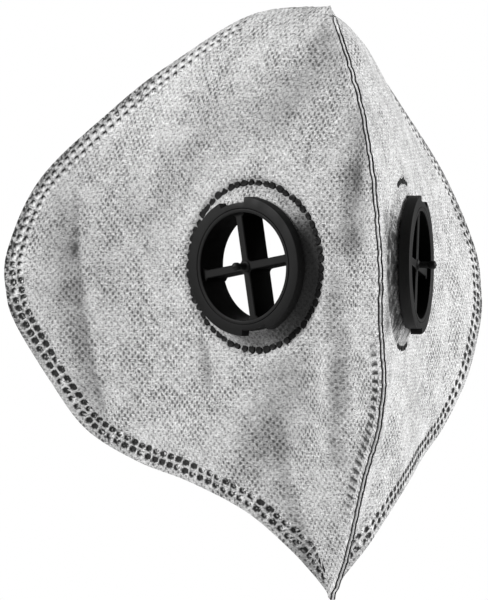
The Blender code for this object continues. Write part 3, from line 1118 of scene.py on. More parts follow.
@dataclass
class HalfPanel:
    """The four sheets and the fused margin of one half."""

    side: Side
    shape: PanelShape
    columns: Columns
    finishes: Finishes
    rise: float = 1.9
    cone_foot: float = 21.3
    cone_top: float = 16.4
    dot_ring: float = 20.8
    weld_depth: float = 0.34
    nose_curl: float = 3.2
    nose_crest: float = 1.3
    fin_height: float = 1.0
    carbon_proud: float = 0.3
    blend_width: float = 14.0
    hole_reach: float = 25.0
    weld_rows: tuple[float, float] = (2.4, 4.5)
    # a weld mark's painted wall shadow covers its outer side beyond this offset from its middle
    crescent: float = 0.45
    stitch_pitch: float = 2.5
    stitch_depth: float = 0.3

    def __post_init__(self) -> None:
        """Draw this half's noise and the tone, depth and place of each weld mark."""
        self.character = CHARACTERS[self.side]
        self.noise = SmoothNoise(self.character.seed)
        draw = np.random.default_rng(self.character.seed + 100)
        count = self.columns.marks
        self.mark_tone = draw.uniform(0, 1, (count, 2))
        self.mark_depth = draw.uniform(0.75, 1.1, (count, 2))
        self.mark_shift = draw.uniform(-0.12, 0.12, (count, 2, 2))

    def surface(self, along: np.ndarray, up: np.ndarray) -> tuple[np.ndarray, np.ndarray]:
        """The height of the outer face over the panel plane.

        Args:
            along: Places on the panel.
            up: Places on the panel.

        Returns:
            Heights in millimetres, and the distances to the rim.
        """
        base = self.shape.height(along, up)
        to_rim, rim_travel = nearest(self.shape.rim[::2, :2], along, up)
        to_seam, _ = nearest(self.shape.seam[::2, :2], along, up)
        free = ease(np.hypot(along, up), 22.5, 30) * ease(to_seam, 0.5, 8)
        waves = 0.5 * self.noise(along + 7, up + 31, 24) + 0.2 * self.noise(along + 50, up + 5, 9)
        waves += 0.07 * self.noise(along + 80, up + 70, 3.6)
        folds = sum(fold(along, up) for fold in self.character.folds)
        near_nose = 1 - ease(rim_travel, 30, 66)
        curl = -self.nose_curl * np.clip(1 - to_rim / 5.0, 0, 1) ** 2
        curl = curl + self.nose_crest * np.exp(-(((to_rim - 8) / 5) ** 2))
        calm = 0.25 + 0.75 * ease(to_rim, 3, 22)
        curl = near_nose * ease(to_seam, 0, 9) * curl
        return base + free * (calm * waves + folds) + curl, to_rim

    def cone(self, radius: np.ndarray, angle: np.ndarray) -> np.ndarray:
        """The fabric's rise round the port: a groove at the weld dots and a cone inside it.

        Args:
            radius: Distances from the port's axis.
            angle: Directions from it.

        Returns:
            Heights to add to the surface.
        """
        wavy = 1 + 0.12 * self.noise(angle * 9 + 60, angle * 0, 2.0)
        share = np.clip((self.cone_foot - radius) / (self.cone_foot - self.cone_top), 0, 1)
        rise = self.rise * wavy * share**1.2
        for middle, half_width, height in (
            (self.dot_ring, 0.8, -self.character.groove_depth),
            (self.dot_ring - 1.75, 0.3, -0.16),
            (23.2, 1.5, 0.28),
        ):
            rise = rise + height * np.exp(-(((radius - middle) / half_width) ** 2))
        return rise

    def sheet(self, key: str, outer_rows: np.ndarray, inner_rows: np.ndarray,
              fine_side: str) -> MeshParts:
        """Mesh one sheet as a closed solid.

        Args:
            key: Its name in LAYERS.
            outer_rows: Shares from the hole to the margin, for the outer face.
            inner_rows: The same for the inner face.
            fine_side: "outer" or "inner", the face that carries the weld marks, or "none".

        Returns:
            The mesh.
        """
        layer = LAYERS[key]
        outer = self._face(layer, True, outer_rows, fine_side == "outer")
        inner = self._face(layer, False, inner_rows, fine_side == "inner")
        points, flat, marks = (np.concatenate([a, b[:, ::-1]], axis=1)
                               for a, b in zip(outer, inner))
        columns, rows = points.shape[:2]
        points = points.reshape(-1, 3)
        points[:, 0] *= self.side.value
        quads = ring_faces(columns, rows, self.side is Side.LEFT)
        return MeshParts(points, quads, flat.reshape(-1, 2), marks.reshape(-1, 4))

    def _face(self, layer: Layer, is_outer: bool, shares: np.ndarray,
              fine: bool) -> tuple[np.ndarray, np.ndarray, np.ndarray]:
        """Work out one face of a sheet, column by column.

        Args:
            layer: The sheet.
            is_outer: Whether this is its outer face.
            shares: Places between the hole and the margin: 0 to 1 near the hole, 1 to 2 beyond.
            fine: Whether the face carries the weld marks.

        Returns:
            Points in the mask, cloth coordinates, and marks.
        """
        c = self.columns
        reach = np.linalg.norm(c.inner, axis=1)
        near = layer.hole + (self.hole_reach - layer.hole) * np.minimum(shares, 1)
        beyond = (reach - self.hole_reach)[:, None]
        radii = near[None, :] + np.maximum(shares - 1, 0)[None, :] * beyond
        direction = np.stack([np.cos(c.angle), np.sin(c.angle)], axis=1)
        body = radii[..., None] * direction[:, None]
        rim_rows, seam_rows, fin_rows = self._margin_rows(layer, fine)
        distance = np.where(c.on_rim[:, None], rim_rows, seam_rows) * (
            c.margin / np.where(c.on_rim, c.rim_margin, c.seam_margin))[:, None]
        slide = np.zeros_like(distance)
        marks = np.zeros((len(c.travel), len(shares) + distance.shape[1], 4))
        dent = np.zeros_like(distance)
        if fine:
            distance, slide, dent, margin_marks = self._weld(distance, is_outer)
            marks[:, len(shares):] = margin_marks
        margin = (c.start[:, None, :2] + distance[..., None] * c.inward[:, None]
                  + slide[..., None] * c.tangent[:, None])
        flat = np.concatenate([body, margin], axis=1)
        along, up = flat[..., 0], flat[..., 1]
        gone = np.concatenate([c.margin[:, None] + reach[:, None] - radii, distance], axis=1)
        out, to_rim = self.surface(along, up)
        radius, angle = np.hypot(along, up), np.arctan2(up, along)
        in_body = layer.outer if is_outer else layer.inner
        in_margin = layer.margin_outer if is_outer else layer.margin_inner
        pinch = ease(-to_rim, -9.5, -5.6)
        depth = in_body + (in_margin - in_body) * pinch
        out = out + self.cone(radius, angle) * (1 - in_body / 2.4) - depth
        out[:, len(shares):] += dent
        if is_outer and fine:
            dents = self._seam_dents(gone)
            out -= self.stitch_depth * dents
            # painted shade in the stitch dents
            marks[..., 1] = np.maximum(marks[..., 1], np.clip(2.6 * (dents - 0.26), 0, 1))
        # painted shade on the cover: round the port, in the groove of weld dots and along creases
        if is_outer:
            marks[..., 1] = np.maximum(marks[..., 1], self._painted_shade(along, up))
        if layer.node in ("carbon_layer", "filter_layer"):
            nose = self.shape.rim[0]
            out -= 0.9 * (1 - ease(np.hypot(along - nose[0], up - nose[1]), 3, 10))
        placed = self.shape.place(along, up, out)
        fin = layer.fin_outer if is_outer else layer.fin_inner
        open_fin = 0.03 + 0.97 * ease(self.shape.rim_points[0][2] - placed[..., 2], 1.4, 4.2)
        placed[..., 0] = np.hypot(np.maximum(placed[..., 0], 0), fin * open_fin)
        self._raise_fin(placed, fin_rows, fin, len(shares))
        return placed, flat, marks

    def _margin_rows(self, layer: Layer, fine: bool) -> tuple[np.ndarray, np.ndarray, np.ndarray]:
        """Place the margin's rows.

        Args:
            layer: The sheet.
            fine: Whether the face carries the weld marks.

        Returns:
            Their distances from the outline on the rim, the same on the seam, and how far
            forward each row goes up the fin.
        """
        if fine:
            half, wall = self.columns.weld_across, self.columns.wall
            rim = [6.6, 6.0, 5.5]
            for centre in reversed(self.weld_rows):
                rim += [centre + half + wall, centre + half, centre, centre - half,
                        centre - half - wall]
            rim[8:8] = [3.45]
            rim += [1.2, 0.6, 0.2, 0.0]
            seam = [*np.arange(13, -1, -1) * 3 / 10, 0.0, 0.0, 0.0, 0.0]
            fin = [0.0] * 14 + [0.3, 0.65, 1.0, 1.0]
        elif layer.node in ("outer_cover", "lining"):
            rim, seam = [6.2, 4.5, 2.2, 0.0], [3.0, 1.4, 0.0, 0.0]
            fin = [0.0, 0.0, 0.0, 1.0]
        else:
            rim, seam = [6.9, 6.8, 6.7, 6.5], [3.0, 1.4, 0.0, 0.0]
            fin = [0.0, 0.0, 0.0, 1.0]
        height = {"outer_cover": self.fin_height,
                  "carbon_layer": self.fin_height + self.carbon_proud}
        fin = np.array(fin) * height.get(layer.node, 0.0)
        if layer.node in ("filter_layer", "lining"):
            seam = [max(s, 1.0) for s in seam]
        return np.array(rim), np.array(seam), fin

    def _raise_fin(self, placed: np.ndarray, rows: np.ndarray, fin: float, before: int) -> None:
        """Carry the last rows of the seam columns forward along the fin, with a wavy cut edge.

        Args:
            placed: The face's points, which are moved.
            rows: How far forward each margin row goes.
            fin: The face's half width in the fin, which picks its pattern.
            before: How many rows come before the margin.
        """
        c = self.columns
        on_seam = ~c.on_rim
        ragged = 1 + 0.1 * self.noise.line(c.travel, 1.3, fin * 40)
        ragged *= ease(c.seam_length - c.travel, 2.6, 4.0)
        step = (rows[None, :] * ragged[:, None])[..., None] * c.forward[:, None]
        placed[on_seam, before:] += step[on_seam]
        sway = self.side.value * seam_sway(c.travel)
        raised = rows / max(rows.max(), 1)
        placed[on_seam, before:, 0] += (sway[:, None] * raised[None, :])[on_seam]

    def _weld(self, distance: np.ndarray, is_outer: bool) -> tuple[np.ndarray, ...]:
        """Press the weld marks into the margin, and paint the shadow on one wall of each.

        Args:
            distance: Distance of each margin point from the rim.
            is_outer: Whether this is the outer face.

        Returns:
            New distances, slides along the rim, height changes and colour marks.
        """
        c = self.columns
        slide, dent = np.zeros_like(distance), np.zeros_like(distance)
        marks = np.zeros((*distance.shape, 4))
        moved = distance.copy()
        centre_travel = (c.mark + 0.5) * c.rim_length / c.marks
        first = self.character.first_mark if is_outer else 3.5
        live = c.on_rim & (centre_travel > first) & (centre_travel < c.rim_length - 2.5)
        low = 0.02 + self.character.darkest_weld * ease(centre_travel, 112, 150)
        inwards = -1 if is_outer else 1
        pick = np.maximum(c.mark, 0)
        ds = c.mark_offset[:, None]
        for row, centre in enumerate(self.weld_rows):
            dd = distance - centre
            inside = self._within(ds, dd, 0.01) & live[:, None]
            walled = self._within(ds, dd, c.wall + 0.01) & live[:, None]
            corner = walled & (np.abs(ds) > 0.3) & (np.abs(dd) > 0.3)
            slide = np.where(corner, -0.12 * ds, slide)
            moved = np.where(corner, moved - 0.12 * dd, moved)
            shift = self.mark_shift[pick, row]
            slide = np.where(walled, slide + shift[:, :1], slide)
            moved = np.where(walled, moved + shift[:, 1:], moved)
            deep = self.weld_depth * self.mark_depth[pick, row][:, None]
            crowned = 1 - 0.2 * ((ds == 0) & (np.abs(dd) < 0.1))
            dent = np.where(inside, inwards * deep * crowned, dent)
            tone = np.clip(self.mark_tone[pick, row] * 0.75 + low - 0.25, 0, 1)[:, None]
            # painted shadow on the outer wall and one end of each weld mark
            shaded = (dd < -self.crescent) & (ds < 0.75) | (ds < -0.7) & (dd < 0.3)
            marks[..., 0] = np.where(inside, 1.0, marks[..., 0])
            marks[..., 1] = np.where(walled & shaded, 1.0, marks[..., 1])
            marks[..., 2] = np.where(walled, tone, marks[..., 2])
        hem = ease(-distance, -1.6, -0.9) * c.on_rim[:, None]
        by_ear = ease(c.travel, 35, 70) * (1 - ease(c.travel, 135, 160))
        marks[..., 3] = hem * (0.12 + 0.88 * by_ear[:, None])
        return moved, slide, dent, marks

    def _within(self, ds: np.ndarray, dd: np.ndarray, more: float) -> np.ndarray:
        """Whether offsets along and across the rim lie in a weld mark that is more wide."""
        c = self.columns
        return (np.abs(ds) < c.weld_half + more) & (np.abs(dd) < c.weld_across + more)

    def _painted_shade(self, along: np.ndarray, up: np.ndarray) -> np.ndarray:
        """How much painted shade lies on the cover: the collar's painted shadow on the cone's seam side,
        lighter towards the top, painted shade in the groove of weld dots, and painted shade along
        creases, hollows and beside the port, where the wide patch by the ear also stands for darker
        cloth.

        Args:
            along: Places on the panel.
            up: Places on the panel.

        Returns:
            Shares from 0 to 1.
        """
        radius, angle = np.hypot(along, up), np.arctan2(up, along)
        # the collar's painted shadow on the cone, strongest on the seam side and lighter towards the top
        to_seam_side = 0.5 - 0.5 * np.cos(angle - 0.15)
        cone = ease(radius, 15.5, 16.8) * (1 - ease(radius, 20.4, 21.6))
        below = 1 - 0.85 * ease(np.sin(angle), 0.45, 0.95)
        plain, uneven = self.character.cone_shadow_mix
        amount = 1.05 * cone * (0.1 + 0.9 * to_seam_side**1.2) * below
        amount *= plain + uneven * self.noise(along * 2, up * 0.6, 1.1)
        # painted shade in the groove of weld dots
        groove = np.exp(-(((radius - self.dot_ring) / 1.2) ** 2))
        amount = np.maximum(amount, self.character.groove_shade * groove)
        # painted shade along creases, hollows and beside the port; the wide patch by the ear also stands
        # for darker cloth
        soft = sum(dark_patch(along, up) for dark_patch in self.character.shade_and_stains)
        patchy = 1 + 0.4 * self.noise(along + 11, up + 17, 5.0)
        return np.clip(np.maximum(amount, soft * patchy * ease(radius, 20, 22)), 0, 0.97)

    def _seam_dents(self, gone: np.ndarray) -> np.ndarray:
        """Slanting stitch-like weld dents in a row beside the centre seam.

        Args:
            gone: How far each point is from its column's outer end.

        Returns:
            Shares from 0 to 1 of a dent's full depth.
        """
        c = self.columns
        length, width, centre = 0.66, 1.5, 2.3
        phase = np.mod(c.travel[:, None], self.stitch_pitch) - self.stitch_pitch / 2
        shape = np.exp(-((phase / length) ** 4)) * np.exp(-(((gone - centre) / width) ** 4))
        chin_to_nose = c.travel / c.seam_length
        strong = ease(chin_to_nose, 0.12, 0.25) * (1 - ease(chin_to_nose, 0.37, 0.49))
        amount = self.character.stitch_share * (0.3 + 0.7 * strong) * (~c.on_rim)
        return amount[:, None] * shape

    def build(self) -> list[bpy.types.Object]:
        """Make the sheets and the fused margin.

        Returns:
            The pieces.
        """
        fine = np.concatenate([np.linspace(0, 1, 17), 1 + np.linspace(0, 1, 31)[1:-1] ** 1.1])
        coarse = np.concatenate([[0, 0.3, 0.55, 0.8, 1.0], 1 + np.linspace(0, 1, 7)[1:-1]])
        medium = np.concatenate([np.linspace(0, 1, 8), 1 + np.linspace(0, 1, 20)[1:-1]])
        plans = [
            ("outer", self.finishes.outer, fine, medium, "outer"),
            ("carbon", self.finishes.carbon, coarse, coarse, "none"),
            ("filter", self.finishes.filter_web, coarse, coarse, "none"),
            ("lining", self.finishes.lining, coarse, medium, "inner"),
        ]
        made = []
        for key, material, outer_rows, inner_rows, fine_side in plans:
            layer = LAYERS[key]
            name = f"{self.side.word}_{layer.node}_cloth"
            parts = self.sheet(key, outer_rows, inner_rows, fine_side)
            piece = parts.build(name, material, 60 if fine_side != "none" else 180)
            self._attach(piece, layer)
            made.append(piece)
        made.append(self._fused_margin())
        return made

    def _bend(self, piece: bpy.types.Object, node: str) -> None:
        """Hide the CAD node that a piece stands in for, and bake the piece's placement into its mesh.

        Args:
            piece: The piece.
            node: Its CAD node, without the side.
        """
        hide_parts(f"{self.side.word}_{node}")
        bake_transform(piece)
        LOG.info("%s: %d points", piece.name, len(piece.data.vertices))

    def _attach(self, piece: bpy.types.Object, layer: Layer) -> None:
        """Hide the CAD node that a sheet stands in for, and bake the sheet's placement."""
        self._bend(piece, layer.node)

    def _fused_margin(self) -> bpy.types.Object:
        """The fused core between the cover and the lining, which shows as a dark ragged edge.

        Returns:
            The piece.
        """
        c = self.columns
        rim = c.on_rim & (c.travel > 9.0) & (c.travel < c.rim_length - 4.0)
        start, inward, travel = c.start[rim, :2], c.inward[rim], c.travel[rim]
        ragged = 0.1 + 0.1 * self.noise.line(travel, 1.1)
        section = [(6.0, 0.96), (3.0, 0.96), (0.3, 0.97), (0.0, 1.02),
                   (0.0, 1.18), (0.3, 1.23), (3.0, 1.24), (6.0, 1.24)]
        rings = []
        for distance, depth in section:
            at = np.full(len(travel), distance) if distance else -ragged
            along, up = (start + at[:, None] * inward).T
            rings.append(self.shape.place(along, up, self.surface(along, up)[0] - depth))
        points = np.stack(rings, axis=1)
        points[..., 0] = np.hypot(np.maximum(points[..., 0], 0), 0.45)
        count, rows = points.shape[:2]
        points = points.reshape(-1, 3)
        points[:, 0] *= self.side.value
        turn = -1 if self.side is Side.LEFT else 1
        ends = [quad[::turn] for quad in ([0, 1, 2, 3], [0, 3, 4, 7], [4, 5, 6, 7])]
        faces = open_tube_faces(count, rows, self.side is Side.LEFT, ends)
        parts = MeshParts(points, faces)
        piece = parts.build(f"{self.side.word}_fused_margin", self.finishes.fused_edge)
        self._bend(piece, "welded_edge")
        return piece


@dataclass
class CentreSeam:
    """The light fused core of the fin between the two dark carbon edges."""

    shape: PanelShape
    finishes: Finishes
    front: float = 1.08
    rear: float = 5.6
    half_width: float = 0.27
    tip_width: float = 0.17
    foot_width: float = 0.1
    sections: int = 420

    def build(self) -> bpy.types.Object:
        """Sweep the core's section along the seam.

        Returns:
            The piece.
        """
        line = smooth_curve(self.shape.seam_points, self.sections)
        travelled = lengths_along(line)
        slope = np.gradient(line, travelled, axis=0)
        slope /= np.linalg.norm(slope, axis=1)[:, None]
        forward = np.stack([-slope[:, 1], slope[:, 0]], axis=1)
        to_nose = travelled[-1] - travelled
        noise = SmoothNoise(5)
        wide, tip, foot, shoulder = self.half_width, self.tip_width, self.foot_width, self.front - 0.2
        section = [(-0.08, -self.rear), (0.08, -self.rear), (foot, -1.6), (wide, -0.7),
                   (wide, shoulder), (tip, self.front), (0.0, self.front + 0.05),
                   (-tip, self.front), (-wide, shoulder), (-wide, -0.7), (-foot, -1.6)]
        rings = []
        for x, ahead in section:
            height = np.full(self.sections, ahead)
            if ahead > 0.5:
                height *= 1 + 0.07 * noise.line(travelled, 1.3, x * 9)
                height *= ease(to_nose, 3.0, 4.2)
            spot = line + height[:, None] * forward
            narrow = 0.05 + 0.95 * ease(to_nose, 3.0, 4.4)
            sway = seam_sway(travelled) * max(ahead, 0.0)
            rings.append(np.stack([x * narrow + sway, spot[:, 0], spot[:, 1]], axis=1))
        points = np.stack(rings, axis=1)
        ends = [[0, 1, 2, 10], [10, 2, 3, 9], [9, 3, 4, 8], [8, 4, 5, 7]]
        faces = open_tube_faces(self.sections, len(section), False, ends)
        parts = MeshParts(points.reshape(-1, 3), faces)
        piece = parts.build("centre_seam_fin", self.finishes.fused_core, 50)
        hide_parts("centre_seam")
        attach(piece, SEAM_BODY)
        LOG.info("%s: %d points", piece.name, len(piece.data.vertices))
        return piece


# ---- valve port ------------------------------------------------------------------------------


DOT_SEEDS = {Side.LEFT: 3, Side.RIGHT: 4}


@dataclass
class ValvePort:
    """Seat, cross, bayonet ring and weld dots of one side, in the port's own frame: local Z
    points outwards along the bore, local Y up, and height 0 is the fabric's outer face."""

    side: Side
    shape: PanelShape
    finishes: Finishes
    bore: float = 13.5
    sleeve: float = 14.45
    neck: float = 16.0
    lip: float = 17.4
    flange: float = 22.5
    front: float = 5.1
    rear: float = -4.3
    lip_thickness: float = 2.9
    notch_centre: float = 12.5
    notch_angle: float = 27.0
    stop_angle: float = 7.0
    cross_front: float = 4.0
    cross_half: float = 1.0
    cross_roll: float = 10.0
    dots: int = 58
    dot_ring: float = 20.8
    dot_points: int = 14
    dot_sink: float = 0.3
    steps: int = 240
    pin_steps: int = 40

    @property
    def matrix(self) -> Matrix:
        """The port's frame in the mask.

        Returns:
            The matrix, in metres.
        """
        shape, sign = self.shape, self.side.value
        outward = Vector((sign * math.cos(shape.turn), -math.sin(shape.turn), 0))
        up = Vector((0, 0, 1))
        turn = Matrix((up.cross(outward), up, outward)).transposed().to_4x4()
        place = Vector((sign * shape.port_out, shape.port_back, shape.port_up))
        return Matrix.Translation(place * MM) @ turn

    def _finish(self, parts: MeshParts, label: str, material: bpy.types.Material,
                node: str | None = None, sharp: float = 35) -> bpy.types.Object:
        """Make a piece of the port and fix it.

        Args:
            parts: Its mesh.
            label: Its name without the side.
            material: Its finish.
            node: The CAD node that it stands for, without the side.
            sharp: Edges bent by more than this many degrees are left sharp.

        Returns:
            The piece.
        """
        return self._fix(parts.build(f"{self.side.word}_{label}", material, sharp), node)

    def _fix(self, piece: bpy.types.Object, node: str | None) -> bpy.types.Object:
        """Place a piece of the port, fix it to its half and hide the CAD node that it stands for.

        Args:
            piece: The piece.
            node: The CAD node that it stands for, without the side.

        Returns:
            The piece.
        """
        piece.matrix_world = self.matrix
        if node:
            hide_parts(f"{self.side.word}_{node}")
        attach(piece, self.side.body)
        LOG.info("%s: %d points", piece.name, len(piece.data.vertices))
        return piece

    def _shaded_bore_walls(self, piece: bpy.types.Object) -> bpy.types.Object:
        """Give the faces that don't look outwards along the bore a darker, matt copy of the black
        moulding: painted shade on the bore's walls.

        Args:
            piece: The piece.

        Returns:
            The piece.
        """
        piece.data.materials.append(self.finishes.shaded_bore_plastic)
        for face in piece.data.polygons:
            face.material_index = int(face.normal.z < 0.5)
        return piece

    def seat(self) -> bpy.types.Object:
        """The sleeve with its flange behind the sheets.

        Returns:
            The piece.
        """
        profile = rounded([
            (self.bore, self.rear, 0.25), (self.flange, self.rear, 0.35),
            (self.flange, self.rear + 1.3, 0.35), (self.sleeve, self.rear + 1.3, 0.1),
            (self.sleeve, self.front, 0.15), (self.bore, self.front, 0.35),
        ])
        parts = lathe(profile, self.steps)
        piece = self._finish(parts, "seat_moulding", self.finishes.plastic, "valve_seat")
        return self._shaded_bore_walls(piece)

    def _outer_radius(self, degrees: np.ndarray) -> tuple[np.ndarray, np.ndarray]:
        """The ring's outline, with its two notches and its stop.

        Args:
            degrees: Angles from local +X.

        Returns:
            The radius in the lip, and the radius in the groove.
        """
        top = 90 - self.side.value * self.notch_centre
        half = self.notch_angle / 2
        lip = np.full_like(degrees, self.lip)
        groove = np.full_like(degrees, self.neck)
        for turn in (0, 180):
            away = np.abs((degrees - top - turn + 180) % 360 - 180)
            lip = np.where(away < half, self.neck, lip)
        stop = top + self.side.value * (half + self.stop_angle / 2)
        away = np.abs((degrees - stop + 180) % 360 - 180)
        return lip, np.where(away < self.stop_angle / 2, self.lip, groove)

    def ring(self) -> bpy.types.Object:
        """The bayonet collar, one section per angle, with steep walls at its notches.

        Returns:
            The piece.
        """
        top = 90 - self.side.value * self.notch_centre
        half = self.notch_angle / 2
        stop_far = top + self.side.value * (half + self.stop_angle)
        walls = [top + turn + s * half for turn in (0, 180) for s in (-1, 1)] + [stop_far]
        degrees = np.concatenate([np.linspace(0, 360, self.steps, endpoint=False)]
                                 + [[w - 0.12, w + 0.12] for w in walls])
        degrees = np.unique(np.round(np.mod(degrees, 360), 3))
        lip, groove = self._outer_radius(degrees)
        inner, base, under = self.sleeve + 0.07, 0.3, self.front - self.lip_thickness
        rows = [
            (inner + 0 * lip, base), (groove, base), (groove, under - 0.12),
            (np.maximum(lip - 0.1, groove), under), (lip, under + 0.12),
            (lip, self.front - 0.3), (lip - 0.09, self.front - 0.09), (lip - 0.3, self.front),
            (inner + 0.18 + 0 * lip, self.front), (inner + 0 * lip, self.front - 0.15),
        ]
        angle = np.radians(degrees)
        points = np.stack([
            np.stack([r * np.cos(angle), r * np.sin(angle), np.full_like(angle, h)], axis=1)
            for r, h in rows], axis=1)
        parts = MeshParts(points.reshape(-1, 3), ring_faces(len(angle), len(rows), False))
        return self._finish(parts, "bayonet_collar", self.finishes.plastic, "bayonet_ring", 30)

    def cross(self) -> bpy.types.Object:
        """Two deep webs with a filleted hub and widened feet.

        Returns:
            The piece.
        """
        h, tip, fillet, foot = self.cross_half, self.bore + 0.25, 1.1, 0.9
        corner = h + fillet
        quarter = [(tip, -h - foot), (tip, h + foot)]
        leans = np.radians(90 * np.linspace(0.12, 1, 5))
        flare = [(tip - 0.35 - foot * math.sin(a), h + foot * (1 - math.sin(a))) for a in leans]
        quarter += flare
        quarter += [(corner - fillet * math.sin(a), corner - fillet * math.cos(a))
                    for a in np.radians(np.linspace(0, 90, 6))]
        quarter += [(y, x) for x, y in reversed(flare)]
        outline = []
        for step in range(4):
            turn = math.radians(-self.side.value * self.cross_roll + 90 * step)
            sine, cosine = math.sin(turn), math.cos(turn)
            outline += [(x * cosine - y * sine, x * sine + y * cosine) for x, y in quarter]
        return self._extruded_cross(np.array(outline))

    def _extruded_cross(self, outline: np.ndarray) -> bpy.types.Object:
        """Extrude the cross's outline and bevel its front edge.

        Args:
            outline: The anticlockwise outline, as (x, y) rows.

        Returns:
            The piece.
        """
        inset = outline - 0.2 * self._normals(outline)
        count = len(outline)
        rings = [np.column_stack([flat, np.full(count, level)]) for flat, level in (
            (outline, self.rear), (outline, self.cross_front - 0.22), (inset, self.cross_front))]
        faces: list[tuple[int, ...]] = []
        for level in (0, count):
            for k in range(count):
                n = (k + 1) % count
                faces.append((level + k, level + n, level + count + n, level + count + k))
        faces.append(tuple(reversed(range(count))))
        faces.append(tuple(2 * count + k for k in range(count)))
        mesh = bpy.data.meshes.new(f"{self.side.word}_cross_moulding")
        mesh.from_pydata((np.vstack(rings) * MM).tolist(), [], faces)
        mesh.update()
        mesh.shade_smooth()
        mesh.set_sharp_from_angle(angle=math.radians(40))
        mesh.materials.append(self.finishes.plastic)
        piece = self._fix(into_scene(mesh.name, mesh), "valve_cross")
        return self._shaded_bore_walls(piece)

    @staticmethod
    def _normals(outline: np.ndarray) -> np.ndarray:
        """Outward unit normals of an anticlockwise closed outline."""
        along = np.roll(outline, -1, axis=0) - np.roll(outline, 1, axis=0)
        normal = np.stack([along[:, 1], -along[:, 0]], axis=1)
        return normal / np.maximum(np.linalg.norm(normal, axis=1), 1e-9)[:, None]

    def pin(self) -> bpy.types.Object:
        """The centre pin with its rounded head.

        Returns:
            The piece.
        """
        profile = rounded([
            (0.02, self.cross_front - 0.6, 0), (1.5, self.cross_front - 0.6, 0),
            (1.45, self.cross_front + 0.25, 0.3), (0.8, self.cross_front + 0.5, 0.25),
            (0.8, 6.8, 0.1), (1.05, 7.2, 0.2), (1.05, 8.5, 0.45), (0.02, 8.9, 0),
        ])
        return self._finish(lathe(profile, self.pin_steps), "pin_moulding", self.finishes.plastic)

    def weld_dots(self) -> bpy.types.Object:
        """Black dots of flange plastic that have melted up through the sheets. On the right
        half those beside the collar have sunk below the cloth.

        Returns:
            The piece.
        """
        draw = np.random.default_rng(DOT_SEEDS[self.side])
        points, faces = [], []
        rim = self.dot_points
        levels = ((1.0, -0.9, 0), (1.0, 0.08, 1), (0.8, 0.26, 1), (0.4, 0.14, 1))
        for k in range(self.dots):
            angle = 2 * math.pi * (k + draw.uniform(-0.1, 0.1)) / self.dots
            radius = self.dot_ring + draw.uniform(-0.25, 0.25)
            outward = np.array([math.cos(angle), math.sin(angle), 0.0])
            across = np.array([-math.sin(angle), math.cos(angle), 0.0])
            wide, tall = draw.uniform(0.9, 1.18), draw.uniform(0.8, 1.25)
            sunk = self.side is Side.RIGHT and abs(math.sin(angle)) < 0.94
            sink = self.dot_sink if sunk else 0.0
            base = len(points)
            for share, height, can_sink in levels:
                for turn in 2 * math.pi * np.arange(rim) / rim:
                    size = share * (1 + draw.uniform(-0.2, 0.2))
                    lift = height - can_sink * sink + draw.uniform(-0.03, 0.03)
                    spot = radius * outward + size * (
                        wide * math.cos(turn) * across + tall * math.sin(turn) * outward)
                    points.append(spot + [0, 0, lift])
            faces += self._dot_faces(base, len(levels))
        parts = MeshParts(np.array(points), np.array(faces))
        return self._finish(parts, "port_weld_dots", self.finishes.weld_dot, sharp=60)

    def _dot_faces(self, base: int, levels: int) -> list[tuple[int, ...]]:
        """The quads of one dot.

        Args:
            base: Its first point.
            levels: How many rings of points it has.

        Returns:
            Four point indices a row, its closed ends last.
        """
        rim, faces = self.dot_points, []
        for a in range(base, base + (levels - 1) * rim, rim):
            for j in range(rim):
                n = (j + 1) % rim
                faces.append((a + j, a + n, a + rim + n, a + rim + j))
        for first, step in ((base, -1), (base + (levels - 1) * rim, 1)):
            for j in range(1, rim // 2):
                quad = (first + j - 1, first + j, first + rim - 1 - j, first + rim - j)
                faces.append(quad[::step])
        return faces

    def build(self) -> list[bpy.types.Object]:
        """Make every piece of the port."""
        return [self.seat(), self.ring(), self.cross(), self.pin(), self.weld_dots()]


# ---- studio ----------------------------------------------------------------------------------


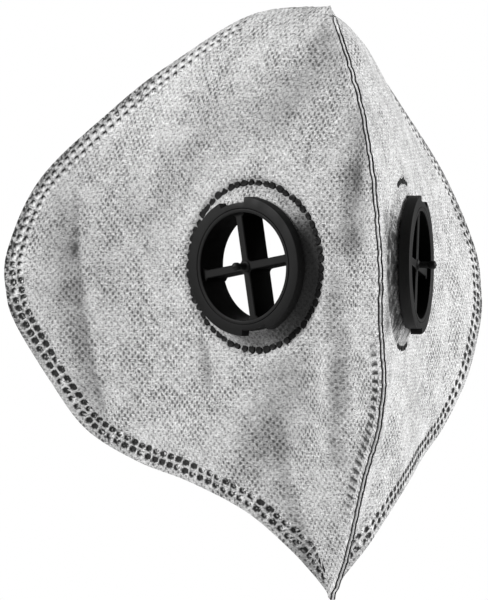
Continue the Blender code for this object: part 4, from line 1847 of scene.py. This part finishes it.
@dataclass
class Studio:
    """Camera, soft lights, white surroundings and a pale floor."""

    azimuth: float = -20.6
    elevation: float = 1.5
    frame_height: float = 0.150
    lens: float = 1200.0
    sensor: float = 36.0
    aim_right: float = -0.02175
    aim_up: float = 0.0004
    sky: float = 0.26

    def camera(self) -> bpy.types.Object:
        """Put the camera in front and to the left, level with the mask.

        Returns:
            The camera.
        """
        a, e = math.radians(self.azimuth), math.radians(self.elevation)
        back = Vector((math.sin(a) * math.cos(e), -math.cos(a) * math.cos(e), math.sin(e)))
        right = Vector((math.cos(a), math.sin(a), 0))
        target = right * self.aim_right + Vector((0, 0, self.aim_up))
        data = bpy.data.cameras.new("camera")
        data.lens, data.sensor_width = self.lens, self.sensor
        camera = into_scene("camera", data)
        camera.location = target + back * (self.frame_height * self.lens / self.sensor)
        camera.rotation_mode = "QUATERNION"
        camera.rotation_quaternion = (-back).to_track_quat("-Z", "Y")
        data.clip_start, data.clip_end = 0.1, 50
        bpy.context.scene.camera = camera
        return camera

    def area(self, name: str, place: tuple[float, float, float], size: float, watts: float) -> None:
        """A square soft light that looks at the mask.

        Args:
            name: Its name.
            place: Where it stands, in metres.
            size: The length of its sides, in metres.
            watts: Its power.
        """
        data = bpy.data.lights.new(name, "AREA")
        data.energy, data.size = watts, size
        light = into_scene(name, data)
        light.location = place
        light.rotation_mode = "QUATERNION"
        light.rotation_quaternion = (-Vector(place)).to_track_quat("-Z", "Y")

    def surroundings(self) -> None:
        """White light from all round, and a pale floor well below the mask."""
        world = bpy.data.worlds.new("white studio")
        world.use_nodes = True
        g = Graph(world.node_tree)
        sky = world.node_tree.nodes["Background"]
        sky.inputs["Color"].default_value = (1, 1, 1, 1)
        seen = g.node("ShaderNodeLightPath").outputs["Is Camera Ray"]
        g.link(g.remap(seen, 0.0, 1.0, self.sky, 1.0), sky.inputs["Strength"])
        bpy.context.scene.world = world
        bpy.ops.mesh.primitive_plane_add(size=1.6, location=(0, 0, -0.4))
        floor = bpy.context.object
        floor.name = "floor"
        material, _, shader = new_material("pale floor")
        shader.inputs["Base Color"].default_value = grey(0.7)
        shader.inputs["Roughness"].default_value = 0.9
        floor.data.materials.append(material)

    def build(self) -> None:
        """Set up the whole studio."""
        bpy.context.scene.view_settings.view_transform = "Standard"
        self.camera()
        self.surroundings()
        self.area("key_right", (1.12, -0.3, 0.3), 0.4, 17.5)
        self.area("key_left", (-0.95, 0.05, 0.5), 0.3, 11.8)
        self.area("fill_back", (0.1, 1.3, 0.4), 0.7, 9.0)


def main() -> None:
    """Build the mask's looks, piece by piece."""
    logging.basicConfig(level=logging.INFO, format="%(name)s: %(message)s")
    finishes = Finishes()
    shape = PanelShape()
    columns = Columns(shape)
    CentreSeam(shape, finishes).build()
    for side in Side:
        pieces = HalfPanel(side, shape, columns, finishes).build()
        pieces += ValvePort(side, shape, finishes).build()
        LOG.info("%s half: %d pieces", side.word, len(pieces))
    Studio().build()


if __name__ == "__main__":
    main()
